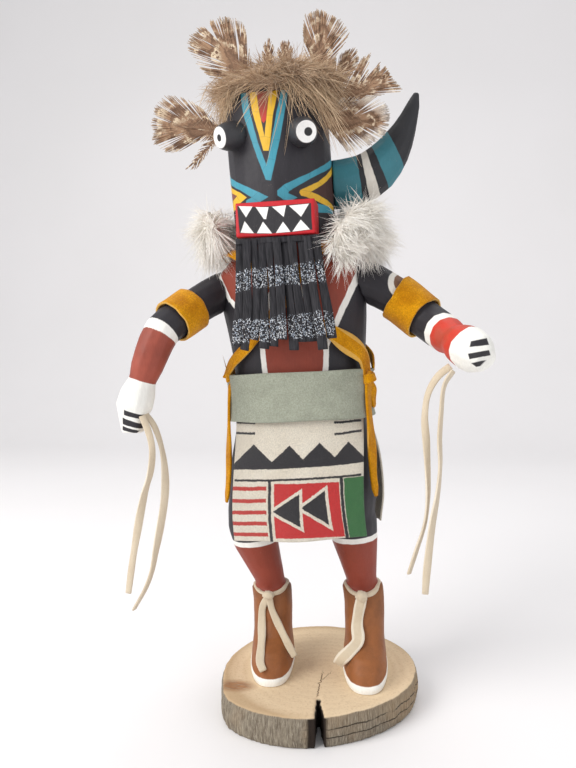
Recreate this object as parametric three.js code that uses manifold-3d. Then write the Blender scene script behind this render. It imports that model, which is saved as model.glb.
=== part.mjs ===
// A carved and painted kachina doll on a slice of a log: it stands on its base slab, leans a little
// towards its own right, and wears leather, suede, fur and feathers over painted wood.
// Millimetres, +Z up, the figure faces -Y, and the origin is the middle of the slab's underside.
// Everything above the ankles is worked out upright and centred on x = 0, and leaned at the end.
import * as THREE from 'three';
import { mergeVertices } from 'three/addons/utils/BufferGeometryUtils.js';
import Module from 'manifold-3d';

const wasm = await Module();
wasm.setup();

// Driving dimensions
const CLEARANCE = 0.3;
const FACET_ROOM = 0.3;
const SLAB_RADIUS = 53;
const SLAB_HEIGHT = 15;
const CRACK_WIDTH = 4.7;
const CRACK_LENGTH = 30;
const BODY_HEIGHT = 235;
const TORSO_HALF_WIDTH = 40.5;
const TORSO_HALF_DEPTH = 25;
const LEG_SPACING = 52;
const LEG_RADIUS = 12.8;
const LEG_SPREAD = 4;
const BOOT_HEIGHT = 43;
const BOOT_WIDTH = 24.5;
const FOOT_LENGTH = 49;
const SOLE_THICKNESS = 2.2;
const HEAD_RADIUS = 28;
const HEAD_HEIGHT = 89;
const MOUTH_WIDTH = 40;
const MOUTH_HEIGHT = 17;
const MOUTH_PROUD = 6;
const EYE_BALL_RADIUS = 7.4;
const EYE_DISC_RADIUS = 5.1;
const EYE_LENGTH = 9.4;
const HORN_ROOT_WIDTH = 27;
const HORN_TIP_WIDTH = 3;
const ARM_RADIUS = 10;
const ARMBAND_WIDTH = { right: 15.5, left: 19 };
const SUEDE_THICKNESS = 1.4;
const KILT_WIDTH = 68;
const KILT_DROP = 79;
const BACK_KILT_DROP = 76;
const CLOTH_THICKNESS = 1.2;
const BELT_WIDTH = 25.5;
const BELT_THICKNESS = 1.6;
const SASH_WIDTH = 6;
const KNOT_RADIUS = 4.4;
const BEARD_LENGTH = 53;
const BEARD_STRIPS = 11;
const BEARD_THICKNESS = 1.3;
const RUFF_RADIUS = 42;
const RUFF_HEIGHT = 36;
const RUFF_THICKNESS = 22;
const CAP_HALF_WIDTH = 35;
const CAP_HALF_DEPTH = 31;
const CAP_HEIGHT = 24;
const VANE_THICKNESS = 1.4;
const LACE_WIDTH = 4.4;
const LACE_THICKNESS = 1.8;
const THONG_DIAMETER = 2.6;

// How the figure stands: leaned about the ankles, with its hips a little to one side of the line
const LEAN = THREE.MathUtils.degToRad(4.1);
const FIGURE_X = -3.6;
const ANKLE_Z = SLAB_HEIGHT + 30;
const HIP_SWAY = -2.7;
const CHEST_SWAY = 1.8;

// Where things stand on the upright figure
const SOLE_Z = SLAB_HEIGHT + CLEARANCE;
const upBody = share => SOLE_Z + share * BODY_HEIGHT;
const TORSO_Y = 2;
const LEG_Y = 7;
const HEM_Z = upBody(0.295);
const CROTCH_Z = upBody(0.34);
const BELT_TOP = upBody(0.701);
const BELT_BOTTOM = BELT_TOP - BELT_WIDTH;
const SHOULDER_Z = upBody(0.9);
const NECK_Z = upBody(0.985);
const HEAD_Z = NECK_Z + CLEARANCE;

const bump = (z, middle, reach) => Math.exp(-(((z - middle) / reach) ** 2));
const smooth = (value, low, high) => THREE.MathUtils.smoothstep(value, low, high);
const mix = THREE.MathUtils.lerp;
const vec = (x, y, z) => new THREE.Vector3(x, y, z);

// A smooth curve of values through a few rows [place, value, value ...], read at any place
function profile(rows) {
  return place => {
    let i = 0;
    while (i < rows.length - 2 && place > rows[i + 1][0]) i += 1;
    const before = rows[Math.max(i - 1, 0)];
    const [from, to] = [rows[i], rows[i + 1]];
    const after = rows[Math.min(i + 2, rows.length - 1)];
    const t = THREE.MathUtils.clamp((place - from[0]) / (to[0] - from[0]), 0, 1);
    return from.slice(1).map((value, k) => {
      const span = to[0] - from[0];
      const slopeIn = (to[k + 1] - before[k + 1]) / (to[0] - before[0] || span) * span;
      const slopeOut = (after[k + 1] - value) / (after[0] - from[0] || span) * span;
      const t2 = t * t;
      const t3 = t2 * t;
      return (2 * t3 - 3 * t2 + 1) * value + (t3 - 2 * t2 + t) * slopeIn
        + (3 * t2 - 2 * t3) * to[k + 1] + (t3 - t2) * slopeOut;
    });
  };
}

// Closed meshes as solids

function weld(geometry) {
  const bare = new THREE.BufferGeometry();
  bare.setAttribute('position', geometry.attributes.position.clone());
  if (geometry.index) bare.setIndex(geometry.index.clone());
  return mergeVertices(bare, 1e-4);
}

function solid(geometry) {
  const welded = weld(geometry);
  const points = welded.attributes.position.array;
  const index = Array.from(welded.index.array);
  const kept = [];
  let volume = 0;
  for (let i = 0; i < index.length; i += 3) {
    const [a, b, c] = [index[i], index[i + 1], index[i + 2]];
    if (a === b || b === c || c === a) continue;
    kept.push(a, b, c);
    const [p, q, r] = [a, b, c].map(n => vec(points[3 * n], points[3 * n + 1], points[3 * n + 2]));
    volume += p.dot(q.cross(r));
  }
  if (volume < 0) kept.reverse();
  const mesh = new wasm.Mesh({
    numProp: 3,
    vertProperties: new Float32Array(points),
    triVerts: new Uint32Array(kept),
  });
  mesh.merge();
  return new wasm.Manifold(mesh);
}

function geometryOf(body) {
  const mesh = body.getMesh();
  const geometry = new THREE.BufferGeometry();
  geometry.setAttribute('position', new THREE.BufferAttribute(new Float32Array(mesh.vertProperties), 3));
  geometry.setIndex(new THREE.BufferAttribute(new Uint32Array(mesh.triVerts), 1));
  return geometry;
}

// The same solid with its skin moved out, to cut a neighbour so that it stays clear
function swollen(body, distance = CLEARANCE * 1.4) {
  const geometry = weld(geometryOf(body));
  geometry.computeVertexNormals();
  const { position, normal } = geometry.attributes;
  for (let i = 0; i < position.count; i += 1) {
    position.setXYZ(i,
      position.getX(i) + normal.getX(i) * distance,
      position.getY(i) + normal.getY(i) * distance,
      position.getZ(i) + normal.getZ(i) * distance);
  }
  return solid(geometry);
}

const joined = bodies => bodies.reduce((sum, body) => sum.add(body));

function largest(body) {
  const pieces = body.decompose();
  return pieces.reduce((best, piece) => (piece.volume() > best.volume() ? piece : best));
}

const without = (body, rooms) => largest(rooms.reduce((left, room) => left.subtract(room), body));
const clearOf = (body, ...others) => without(body, others.map(other => swollen(other)));

// A round body: at(turn, rise) gives the points of its skin, and both ends are closed
function turned(sides, steps, at) {
  const geometry = new THREE.CylinderGeometry(1, 1, 1, sides, steps);
  const position = geometry.attributes.position;
  for (let i = 0; i < position.count; i += 1) {
    const [x, y, z] = [position.getX(i), position.getY(i), position.getZ(i)];
    const rise = y + 0.5;
    const onSkin = Math.hypot(x, z) > 0.5;
    const point = onSkin
      ? at(Math.atan2(-z, x), rise)
      : at(0, rise).add(at(Math.PI, rise)).multiplyScalar(0.5);
    position.setXYZ(i, point.x, point.y, point.z);
  }
  return solid(geometry);
}

// A flat body: at(across, down, through), each from 0 to 1
function sheeted(columns, rows, at) {
  const geometry = new THREE.BoxGeometry(1, 1, 1, columns, 1, rows);
  const position = geometry.attributes.position;
  for (let i = 0; i < position.count; i += 1) {
    const point = at(position.getX(i) + 0.5, position.getZ(i) + 0.5, position.getY(i) + 0.5);
    position.setXYZ(i, point.x, point.y, point.z);
  }
  return solid(geometry);
}

// A body along a curve: size(t) gives half its width and depth, and facing(t) where its depth points
function swept(curve, sides, steps, size, facing) {
  return turned(sides, steps, (turn, t) => {
    const along = curve.getTangentAt(t);
    const out = facing(t).clone();
    out.addScaledVector(along, -out.dot(along)).normalize();
    const side = along.clone().cross(out);
    const [halfWidth, halfDepth] = size(t);
    return curve.getPointAt(t)
      .addScaledVector(side, halfWidth * Math.cos(turn))
      .addScaledVector(out, halfDepth * Math.sin(turn));
  });
}

// A flat strip along a curve, its face turned to outward(t)
function ribbon(curve, steps, width, thickness, outward) {
  return sheeted(1, steps, (across, t, through) => {
    const along = curve.getTangentAt(t);
    const out = outward(t);
    out.addScaledVector(along, -out.dot(along)).normalize();
    const side = along.clone().cross(out);
    return curve.getPointAt(t)
      .addScaledVector(side, (across - 0.5) * width)
      .addScaledVector(out, (through - 0.5) * thickness);
  });
}

const curveThrough = points => new THREE.CatmullRomCurve3(points, false, 'centripetal');

// The upright figure's lean
const sway = z => HIP_SWAY * bump(z, upBody(0.37), 32) + CHEST_SWAY * bump(z, upBody(0.765), 30);

function leanedPoint(point) {
  const rise = point.z - ANKLE_Z;
  const turn = LEAN * smooth(rise, 0, 20);
  const across = point.x + sway(point.z) * smooth(rise, 0, 20);
  return vec(
    FIGURE_X + across * Math.cos(turn) - rise * Math.sin(turn),
    point.y,
    ANKLE_Z + across * Math.sin(turn) + rise * Math.cos(turn),
  );
}

function leaned(body) {
  const geometry = geometryOf(body);
  const position = geometry.attributes.position;
  for (let i = 0; i < position.count; i += 1) {
    const point = leanedPoint(vec().fromBufferAttribute(position, i));
    position.setXYZ(i, point.x, point.y, point.z);
  }
  return solid(geometry);
}

// Paints and materials
const look = (color, roughness, metalness = 0) => ({ color, roughness, metalness });
const LOG_WOOD = look(0xcdaa7d, 0.8);
const BLACK_PAINT = look(0x333035, 0.6);
const TEAL_PAINT = look(0x3c8791, 0.6);
const WHITE_PAINT = look(0xf0eee8, 0.6);
const RED_PAINT = look(0xc3232a, 0.6);
const BLACK_LEATHER = look(0x26262a, 0.7);
const WHITE_FUR = look(0xebe6dc, 0.95);
const BROWN_DOWN = look(0x9a8468, 0.95);
const BARRED_FEATHER = look(0x8c7355, 0.85);
const MUSTARD_SUEDE = look(0xd79614, 0.9);
const SAGE_SUEDE = look(0xa5ac9b, 0.9);
const PAINTED_CLOTH = look(0xd7cdb9, 0.9);
const CREAM_LEATHER = look(0xe1d2b9, 0.85);

const doll = new THREE.Group();
const made = {};

function piece(name, body, finish) {
  const mesh = new THREE.Mesh(geometryOf(body), new THREE.MeshStandardMaterial(finish));
  mesh.name = name;
  doll.add(mesh);
  made[name] = body;
  return body;
}

// Base slab: a slice of a small log, flatter on one side, split from the front edge to near its middle
const SLAB_SHARES = [
  [-180, 1.03], [-155, 1.08], [-136, 1.17], [-118, 1.13], [-98, 1.06], [-70, 0.96], [-45, 0.93],
  [-15, 0.95], [20, 0.98], [60, 0.98], [95, 0.99], [130, 1.0], [160, 1.0], [180, 1.03],
];
const slabShare = profile(SLAB_SHARES);
const slabRadius = turn => SLAB_RADIUS * slabShare(THREE.MathUtils.radToDeg(turn))[0];

const BARK_DEPTH = 0.8;

function slabBody() {
  const barkRough = turn => BARK_DEPTH * (0.6 * Math.sin(17 * turn) + 0.4 * Math.sin(29 * turn + 1));
  return turned(48, 3, (turn, rise) => {
    const worn = Math.min(rise, 1 - rise) < 0.1;
    const radius = slabRadius(turn) + (worn ? -BARK_DEPTH : barkRough(turn));
    return vec(radius * Math.cos(turn), radius * Math.sin(turn), rise * SLAB_HEIGHT);
  });
}

// The crack's middle across the slab, its place along the slab's radius, and its share of the full width
const CRACK_PLACES = [[4.6, -1.3, 1], [4.4, -1.02, 1], [2.1, -0.75, 0.45]];

function crackWedge() {
  const wall = side => CRACK_PLACES.map(([x, along, share]) => (
    new THREE.Vector2(x + side * share * CRACK_WIDTH / 2, along * SLAB_RADIUS)));
  const tip = new THREE.Vector2(0.4, CRACK_LENGTH - SLAB_RADIUS);
  const outline = new THREE.Shape([...wall(1), tip, ...wall(-1).reverse()]);
  const wedge = new THREE.ExtrudeGeometry(outline, { depth: SLAB_HEIGHT * 2, bevelEnabled: false });
  return solid(wedge.translate(0, 0, -SLAB_HEIGHT / 2));
}

piece('base_slab', slabBody().subtract(crackWedge()), LOG_WOOD);

// Body: torso, legs and boots carved from one block
const TORSO_CORNER = 2 / 2.4;
const torsoHalf = profile([
  [CROTCH_Z - 3, 0.93 * TORSO_HALF_WIDTH, 0.9 * TORSO_HALF_DEPTH],
  [upBody(0.391), TORSO_HALF_WIDTH, TORSO_HALF_DEPTH],
  [upBody(0.489), 0.99 * TORSO_HALF_WIDTH, TORSO_HALF_DEPTH],
  [upBody(0.596), 0.88 * TORSO_HALF_WIDTH, 0.93 * TORSO_HALF_DEPTH],
  [upBody(0.706), 0.89 * TORSO_HALF_WIDTH, 0.92 * TORSO_HALF_DEPTH],
  [upBody(0.855), 0.985 * TORSO_HALF_WIDTH, TORSO_HALF_DEPTH],
  [upBody(0.93), 1.02 * TORSO_HALF_WIDTH, 0.98 * TORSO_HALF_DEPTH],
  [upBody(0.965), 0.93 * TORSO_HALF_WIDTH, 0.9 * TORSO_HALF_DEPTH],
  [NECK_Z, 0.66 * TORSO_HALF_WIDTH, 0.76 * TORSO_HALF_DEPTH],
]);

function torsoPoint(turn, z, off = 0) {
  const [halfWidth, halfDepth] = torsoHalf(z);
  const [c, s] = [Math.cos(turn), Math.sin(turn)];
  return vec(
    (halfWidth + off) * Math.sign(c) * Math.abs(c) ** TORSO_CORNER,
    TORSO_Y + (halfDepth + off) * Math.sign(s) * Math.abs(s) ** TORSO_CORNER,
    z,
  );
}

// How far forward (side -1) or back (side 1) the torso's skin stands at a place across it
function torsoDepth(x, z, off, side) {
  const [halfWidth, halfDepth] = torsoHalf(z);
  const share = Math.min(Math.abs(x) / (halfWidth + off), 1);
  const power = 2 / TORSO_CORNER;
  return TORSO_Y + side * (halfDepth + off) * (1 - share ** power) ** (1 / power);
}

function torso(grow = 0, sides = 24) {
  const bottom = CROTCH_Z - 3;
  return turned(sides, 11, (turn, rise) => torsoPoint(turn, mix(bottom, NECK_Z + grow, rise), grow));
}

function leg(side) {
  const bottom = SOLE_Z + BOOT_HEIGHT * 0.8;
  const top = upBody(0.43);
  const half = profile([
    [bottom, 0.6 * LEG_RADIUS, 0.62 * LEG_RADIUS],
    [SOLE_Z + BOOT_HEIGHT, 0.63 * LEG_RADIUS, 0.68 * LEG_RADIUS],
    [HEM_Z, LEG_RADIUS, 1.1 * LEG_RADIUS],
    [CROTCH_Z, 1.08 * LEG_RADIUS, 1.3 * LEG_RADIUS],
    [top, 0.9 * LEG_RADIUS, 1.2 * LEG_RADIUS],
  ]);
  return turned(14, 6, (turn, rise) => {
    const z = mix(bottom, top, rise);
    const [halfWidth, halfDepth] = half(z);
    const y = mix(LEG_Y, TORSO_Y, smooth(z, SOLE_Z + BOOT_HEIGHT, CROTCH_Z));
    const spread = side < 0 ? LEG_SPREAD * smooth(z, SOLE_Z + BOOT_HEIGHT, HEM_Z) : 0;
    const x = side * (LEG_SPACING / 2 + spread);
    return vec(x + halfWidth * Math.cos(turn), y + halfDepth * Math.sin(turn), z);
  });
}

// A boot: its sole runs from a long round toe to a short round heel, under a shaft that stands over the heel.
// Both feet point a little to the figure's left.
const SHAFT_RADIUS = BOOT_WIDTH / 2 - 1;
const footTurn = side => THREE.MathUtils.degToRad(side < 0 ? 8 : 4.5);

const bootShape = profile([
  [0, 0.96, 1, 1], [SOLE_THICKNESS / BOOT_HEIGHT, 1.02, 1, 1], [0.09, 0.97, 0.965, 0.97],
  [0.2, 0.95, 0.9, 0.96], [0.32, 0.9, 0.68, 0.95], [0.42, 0.88, 0.36, 0.96],
  [0.58, 0.89, 0.12, 0.97], [0.8, 0.92, 0.04, 0.98], [1, 0.95, 0, 0.98],
]);

// A boot's top edge is lower in front
const RIM_DIP = 2.6;
const rimDip = turn => RIM_DIP * Math.max(0, -Math.sin(turn)) ** 2;

function bootPoint(side, turn, rise, off = 0) {
  const [width, reach, heel] = bootShape(rise);
  const [c, s] = [Math.cos(turn), Math.sin(turn)];
  const forward = mix(SHAFT_RADIUS, FOOT_LENGTH - SHAFT_RADIUS, reach) + off;
  const squareness = mix(1, 0.86, reach);
  const x = (BOOT_WIDTH / 2 * width + off) * Math.sign(c) * Math.abs(c) ** squareness;
  const y = s < 0 ? s * forward : s * (SHAFT_RADIUS * heel + off);
  return vec(x, y, SOLE_Z + rise * BOOT_HEIGHT - rimDip(turn) * smooth(rise, 0.75, 1))
    .applyAxisAngle(vec(0, 0, 1), footTurn(side))
    .add(vec(side * LEG_SPACING / 2, LEG_Y, 0));
}

const boot = side => turned(14, 10, (turn, rise) => bootPoint(side, turn, rise));

const bodyUpright = joined([torso(), leg(-1), leg(1), boot(-1), boot(1)]);

// Head: an upright drum with a domed crown
const headHalf = profile([
  [0, 0.95], [0.06, 0.97], [0.5, 1], [0.78, 0.985], [0.88, 0.93], [0.95, 0.78], [0.985, 0.5], [1, 0.12],
]);

function headBody(grow = 0, sides = 22, steps = 10) {
  return turned(sides, steps, (turn, rise) => {
    const share = 1 - (1 - rise) ** 1.3;
    const radius = HEAD_RADIUS * headHalf(share)[0] + grow;
    const z = mix(HEAD_Z - grow, HEAD_Z + HEAD_HEIGHT + grow, share);
    return vec(radius * Math.cos(turn), radius * Math.sin(turn), z);
  });
}

const upHead = share => HEAD_Z + share * HEAD_HEIGHT;
const headUpright = headBody();
const headRoom = headBody(3 * CLEARANCE);

// Mouth block: a flat-faced board across the foot of the face
const MOUTH_X = 0.5;
const MOUTH_BOTTOM = HEAD_Z - 0.3;
const MOUTH_FRONT = -HEAD_RADIUS - MOUTH_PROUD;
const MOUTH_TILT = THREE.MathUtils.degToRad(3.4);

function mouthBlock() {
  const bevel = 0.5;
  const depth = HEAD_RADIUS * 0.9;
  const outline = new THREE.Shape();
  outline.moveTo(-MOUTH_WIDTH / 2 + bevel, bevel);
  outline.lineTo(MOUTH_WIDTH / 2 - bevel, bevel);
  outline.lineTo(MOUTH_WIDTH / 2 - bevel, MOUTH_HEIGHT - bevel);
  outline.lineTo(-MOUTH_WIDTH / 2 + bevel, MOUTH_HEIGHT - bevel);
  outline.closePath();
  const block = new THREE.ExtrudeGeometry(outline, {
    depth, bevelThickness: bevel, bevelSize: bevel, bevelSegments: 1,
  });
  block.rotateX(Math.PI / 2);
  block.translate(0, 0, -MOUTH_HEIGHT / 2).rotateY(MOUTH_TILT).translate(0, 0, MOUTH_HEIGHT / 2);
  return solid(block.translate(MOUTH_X, MOUTH_FRONT + depth + bevel, MOUTH_BOTTOM));
}

const mouthUpright = clearOf(mouthBlock(), headUpright, bodyUpright);

// Eyes: balls drawn out in front to a flat disc, each turned its own way
function eye(azimuth, discAzimuth, discDip, z) {
  const outline = [new THREE.Vector2(0, -EYE_BALL_RADIUS)];
  for (const turn of [36, 64, 90]) {
    const a = THREE.MathUtils.degToRad(turn);
    outline.push(new THREE.Vector2(EYE_BALL_RADIUS * Math.sin(a), -EYE_BALL_RADIUS * Math.cos(a)));
  }
  outline.push(
    new THREE.Vector2(0.96 * EYE_BALL_RADIUS, 0.42 * EYE_LENGTH),
    new THREE.Vector2(0.5 * (0.9 * EYE_BALL_RADIUS + EYE_DISC_RADIUS), 0.78 * EYE_LENGTH),
    new THREE.Vector2(EYE_DISC_RADIUS, EYE_LENGTH),
    new THREE.Vector2(0, EYE_LENGTH),
  );
  const ball = new THREE.LatheGeometry(outline, 10);
  const facing = THREE.MathUtils.degToRad(discAzimuth);
  ball.rotateX(-THREE.MathUtils.degToRad(discDip)).rotateZ(Math.PI + facing);
  const place = THREE.MathUtils.degToRad(azimuth);
  const out = HEAD_RADIUS + 1.5;
  return solid(ball.translate(out * Math.sin(place), -out * Math.cos(place), z));
}

const eyeRightUpright = clearOf(eye(-40.5, -42, 14, upHead(0.6195)), headUpright);
const eyeLeftUpright = clearOf(eye(33.5, 22, 19, upHead(0.576)), headUpright);

// Horn: one thick horn from the figure's left side, curving up to a blunt point
const hornLine = curveThrough([
  vec(0.7 * HEAD_RADIUS, 9, upHead(0.364)),
  vec(1.2 * HEAD_RADIUS, 9, upHead(0.364)),
  vec(1.65 * HEAD_RADIUS, 9.5, upHead(0.39)),
  vec(2.02 * HEAD_RADIUS, 10, upHead(0.475)),
  vec(2.34 * HEAD_RADIUS, 10.5, upHead(0.606)),
  vec(2.57 * HEAD_RADIUS, 11, upHead(0.745)),
  vec(2.705 * HEAD_RADIUS, 11, upHead(0.855)),
]);
const hornHalf = profile([
  [0, 0.5], [0.25, 0.495], [0.4, 0.47], [0.6, 0.355], [0.8, 0.205], [0.93, 0.125],
  [1, 0.5 * HORN_TIP_WIDTH / HORN_ROOT_WIDTH],
]);

function hornBody(grow = 0, sides = 12, steps = 12) {
  const half = t => HORN_ROOT_WIDTH * hornHalf(t)[0] + grow;
  return swept(hornLine, sides, steps, t => [half(t), 0.8 * half(t)], () => vec(0, -1, 0));
}

const hornUpright = clearOf(hornBody(), headUpright);
const hornRoom = hornBody(5 * CLEARANCE, 8, 8);

// Arms: carved apart and glued to the shoulders, each with a cuffed fist at its end
const ARM_TOP = [[0, 1.15, 1], [0.2, 1.02, 1], [0.45, 0.96, 1], [0.56, 0.93, 1], [0.7, 0.84, 1], [0.76, 0.7, 1]];
const ARM_PARTS = {
  right: [...ARM_TOP, [0.78, 0.66, 1], [0.8, 0.86, 0.95], [0.84, 0.97, 0.9], [0.88, 0.92, 0.85],
    [0.905, 0.7, 0.75], [0.95, 0.68, 0.75], [0.985, 0.64, 0.75], [1, 0.54, 0.75]],
  left: [...ARM_TOP, [0.785, 0.68, 1], [0.81, 0.9, 0.9], [0.85, 0.95, 0.8], [0.92, 0.86, 0.75],
    [0.97, 0.78, 0.75], [1, 0.5, 0.8]],
};

function armLine(side, bends) {
  const shoulder = vec(side * (TORSO_HALF_WIDTH - 8), TORSO_Y - 3, SHOULDER_Z);
  return curveThrough([shoulder, ...bends.map(bend => shoulder.clone().add(bend))]);
}

const armLines = {
  right: armLine(-1, [
    vec(-6.5, -5, -2), vec(-22, -26, -14), vec(-30, -37, -22), vec(-34.5, -40.5, -31),
    vec(-42, -42, -49), vec(-45.5, -43, -60), vec(-46.5, -43.5, -72),
  ]),
  left: armLine(1, [
    vec(9.5, 0, -4), vec(25, -1.5, -15), vec(36, -3, -26), vec(41.5, -9, -31.5),
    vec(49.5, -28, -40), vec(54.5, -37, -44), vec(60.5, -46, -50),
  ]),
};
const armSize = { right: profile(ARM_PARTS.right), left: profile(ARM_PARTS.left) };

const ARM_SCALE = { right: 0.96, left: 1.06 };

function armBody(side, off = 0, from = 0, to = 1, steps = 16) {
  const line = armLines[side];
  return turned(12, steps, (turn, share) => {
    const t = mix(from, to, share);
    const along = line.getTangentAt(t);
    const up = along.clone().cross(vec(0, -1, 0.35)).normalize();
    const out = up.clone().cross(along);
    const [radius, corner] = armSize[side](t);
    const [c, s] = [Math.cos(turn), Math.sin(turn)];
    const reach = ARM_RADIUS * ARM_SCALE[side] * radius + off;
    return line.getPointAt(t)
      .addScaledVector(up, reach * Math.sign(c) * Math.abs(c) ** corner)
      .addScaledVector(out, reach * Math.sign(s) * Math.abs(s) ** corner);
  });
}

const BAND_PLACE = { right: 0.352, left: 0.354 };
const armUpright = {};
const bandUpright = {};
for (const side of ['right', 'left']) {
  const line = armLines[side];
  const whole = armBody(side);
  armUpright[side] = clearOf(whole, bodyUpright);
  const middle = BAND_PLACE[side];
  const share = ARMBAND_WIDTH[side] / line.getLength() / 2;
  const inside = CLEARANCE + 2 * FACET_ROOM;
  const outer = armBody(side, inside + SUEDE_THICKNESS, middle - share, middle + share, 3);
  const inner = armBody(side, inside, middle - 1.2 * share, middle + 1.2 * share, 4);
  bandUpright[side] = largest(outer.subtract(inner));
}

// Kilt: two stiff painted aprons that hug the waist under the belt and hang free below
const KILT_OFF = CLEARANCE + FACET_ROOM + CLOTH_THICKNESS / 2;
const BELT_OFF = KILT_OFF + CLOTH_THICKNESS / 2 + CLEARANCE + FACET_ROOM;
const KILT_TOP = BELT_TOP - 8;
const BACK_FLARE = 2;

function frontApron() {
  const bottom = KILT_TOP - KILT_DROP;
  return sheeted(12, 4, (across, down, through) => {
    const z = mix(KILT_TOP, bottom, down);
    const x = (across - 0.5) * KILT_WIDTH * mix(0.97, 1.01, down) + 1;
    const hug = torsoDepth(x, z, KILT_OFF, -1);
    const hang = TORSO_Y - TORSO_HALF_DEPTH - 7 + 5 * ((across - 0.5) * 2) ** 2;
    const free = 1 - smooth(z, BELT_BOTTOM - 52, BELT_BOTTOM);
    const y = mix(hug, Math.min(hang, hug), free);
    return vec(x, y - (through - 0.5) * CLOTH_THICKNESS, z);
  });
}

function backApron() {
  const bottom = KILT_TOP - BACK_KILT_DROP;
  return sheeted(14, 4, (across, down, through) => {
    const z = mix(KILT_TOP, bottom, down);
    const free = 1 - smooth(z, BELT_BOTTOM - 52, BELT_BOTTOM);
    const turn = mix(0.05, 0.9, across) * Math.PI;
    const flare = BACK_FLARE * mix(1, 2.75, smooth(across, 0.6, 1));
    return torsoPoint(turn, z, KILT_OFF + flare * free + (through - 0.5) * CLOTH_THICKNESS);
  });
}

const kiltFrontUpright = frontApron();
const kiltBackUpright = backApron();

// The belt hangs a little lower on the figure's left, against the lean
const beltDip = turn => 1.5 * (1 + Math.cos(turn));

function beltBody() {
  const ring = (off, over) => turned(30, 1, (turn, rise) => (
    torsoPoint(turn, mix(BELT_BOTTOM - over, BELT_TOP + over, rise) - beltDip(turn), off)));
  return ring(BELT_OFF + BELT_THICKNESS, 0).subtract(ring(BELT_OFF, 1));
}

const beltUpright = beltBody();

// Sashes: suede strips crossed over the chest, each over one shoulder and knotted on the other hip
const BELT_OUT = BELT_OFF + BELT_THICKNESS + CLEARANCE + FACET_ROOM;
const SASH_ROUTE = [
  [-150, 0.712, 1], [-143, 0.728, 0.7], [-125, 0.758, 0.1], [-106, 0.8], [-91, 0.85], [-82, 0.905],
  [-66, 0.955], [-42, 0.976], [0, 0.978], [42, 0.976], [66, 0.955], [82, 0.905], [91, 0.85], [125, 0.77],
  [150, 0.73, 0.7], [163, 0.712, 1], [176, 0.69, 1],
];

function tail(points, width) {
  const side = Math.sign(points[0].x);
  return ribbon(curveThrough(points), 7, width, SUEDE_THICKNESS, () => vec(side, -0.6, 0));
}

function sash(side, off, knotTurn, knotShare, tails) {
  const mirror = turn => THREE.MathUtils.degToRad(side > 0 ? turn : 180 - turn);
  const outside = BELT_OUT + SUEDE_THICKNESS / 2;
  const place = ([turn, share, lift = 0]) => torsoPoint(mirror(turn), upBody(share), mix(off, outside, lift));
  const line = curveThrough([[knotTurn, knotShare, 1.5], ...SASH_ROUTE].map(place));
  const outward = t => {
    const p = line.getPointAt(t);
    const over = smooth(p.z, upBody(0.93), upBody(0.975));
    return vec(p.x / TORSO_HALF_WIDTH, (p.y - TORSO_Y) / TORSO_HALF_DEPTH, over * 2);
  };
  const hip = torsoPoint(mirror(knotTurn), upBody(knotShare), BELT_OUT + 0.75 * KNOT_RADIUS);
  const knot = new THREE.SphereGeometry(KNOT_RADIUS, 8, 6).scale(0.75, 1.1, 1).translate(hip.x, hip.y, hip.z);
  return joined([
    ribbon(line, 26, SASH_WIDTH, SUEDE_THICKNESS, outward),
    solid(knot),
    ...tails.map(([points, width]) => tail([hip, ...points.map(point => hip.clone().add(point))], width)),
  ]);
}

const FIRST_OFF = CLEARANCE + FACET_ROOM + 0.5 + SUEDE_THICKNESS / 2;
const sashUpright = {
  right: sash(1, FIRST_OFF, -152, 0.695, [
    [[vec(-1, -1, -12), vec(-2, -1, -36), vec(-2.6, -1, -56), vec(-4, -1, -68)], 5],
  ]),
  left: sash(-1, FIRST_OFF + SUEDE_THICKNESS + 3 * CLEARANCE, -155, 0.668, [
    [[vec(0, -1, -12), vec(1, -1, -34), vec(1.6, -1, -50), vec(3, -1, -62)], 5],
    [[vec(1.6, 4, -6), vec(2.6, 6, -16)], 5],
  ]),
};

// Beard: a band under the mouth cut into hanging strips that spread a little
const BEARD_TOP = MOUTH_BOTTOM - 1.5 * CLEARANCE;

function beardBody() {
  const y = MOUTH_FRONT + 2;
  const width = MOUTH_WIDTH + 2;
  const pitch = width / BEARD_STRIPS;
  const place = (x, drop, through, wave = 0) => (
    vec(MOUTH_X + x, y + wave - (through - 0.5) * BEARD_THICKNESS, BEARD_TOP - drop - Math.tan(MOUTH_TILT) * x));
  const strips = [sheeted(1, 1, (across, down, through) => place((across - 0.5) * width, down * 9, through))];
  for (let i = 0; i < BEARD_STRIPS; i += 1) {
    const share = (i + 0.5) / BEARD_STRIPS - 0.5;
    const length = BEARD_LENGTH - 3 + 3 * Math.sin(i * 2.3);
    const spread = share * 13 - 3;
    const wave = 0.7 * Math.sin(i * 1.9);
    strips.push(sheeted(1, 2, (across, down, through) => {
      const x = share * width + spread * down ** 1.5 + (across - 0.5) * pitch * 0.9;
      return place(x, 6 + down * (length - 6), through, wave * down);
    }));
  }
  return joined(strips);
}

const beardUpright = beardBody();

// Ruff: a thick collar of fur round the neck, open at the front, hanging lower on the figure's left
const RUFF_ROUTE = [
  [-144, 0.98, 6], [-165, 1, 10], [165, 0.98, 9], [130, 0.93, 8], [90, 0.9, 7], [50, 0.95, 6],
  [15, 1.02, 4], [-12, 1.03, 2], [-34, 1, -3], [-50, 0.98, -14],
];

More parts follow.
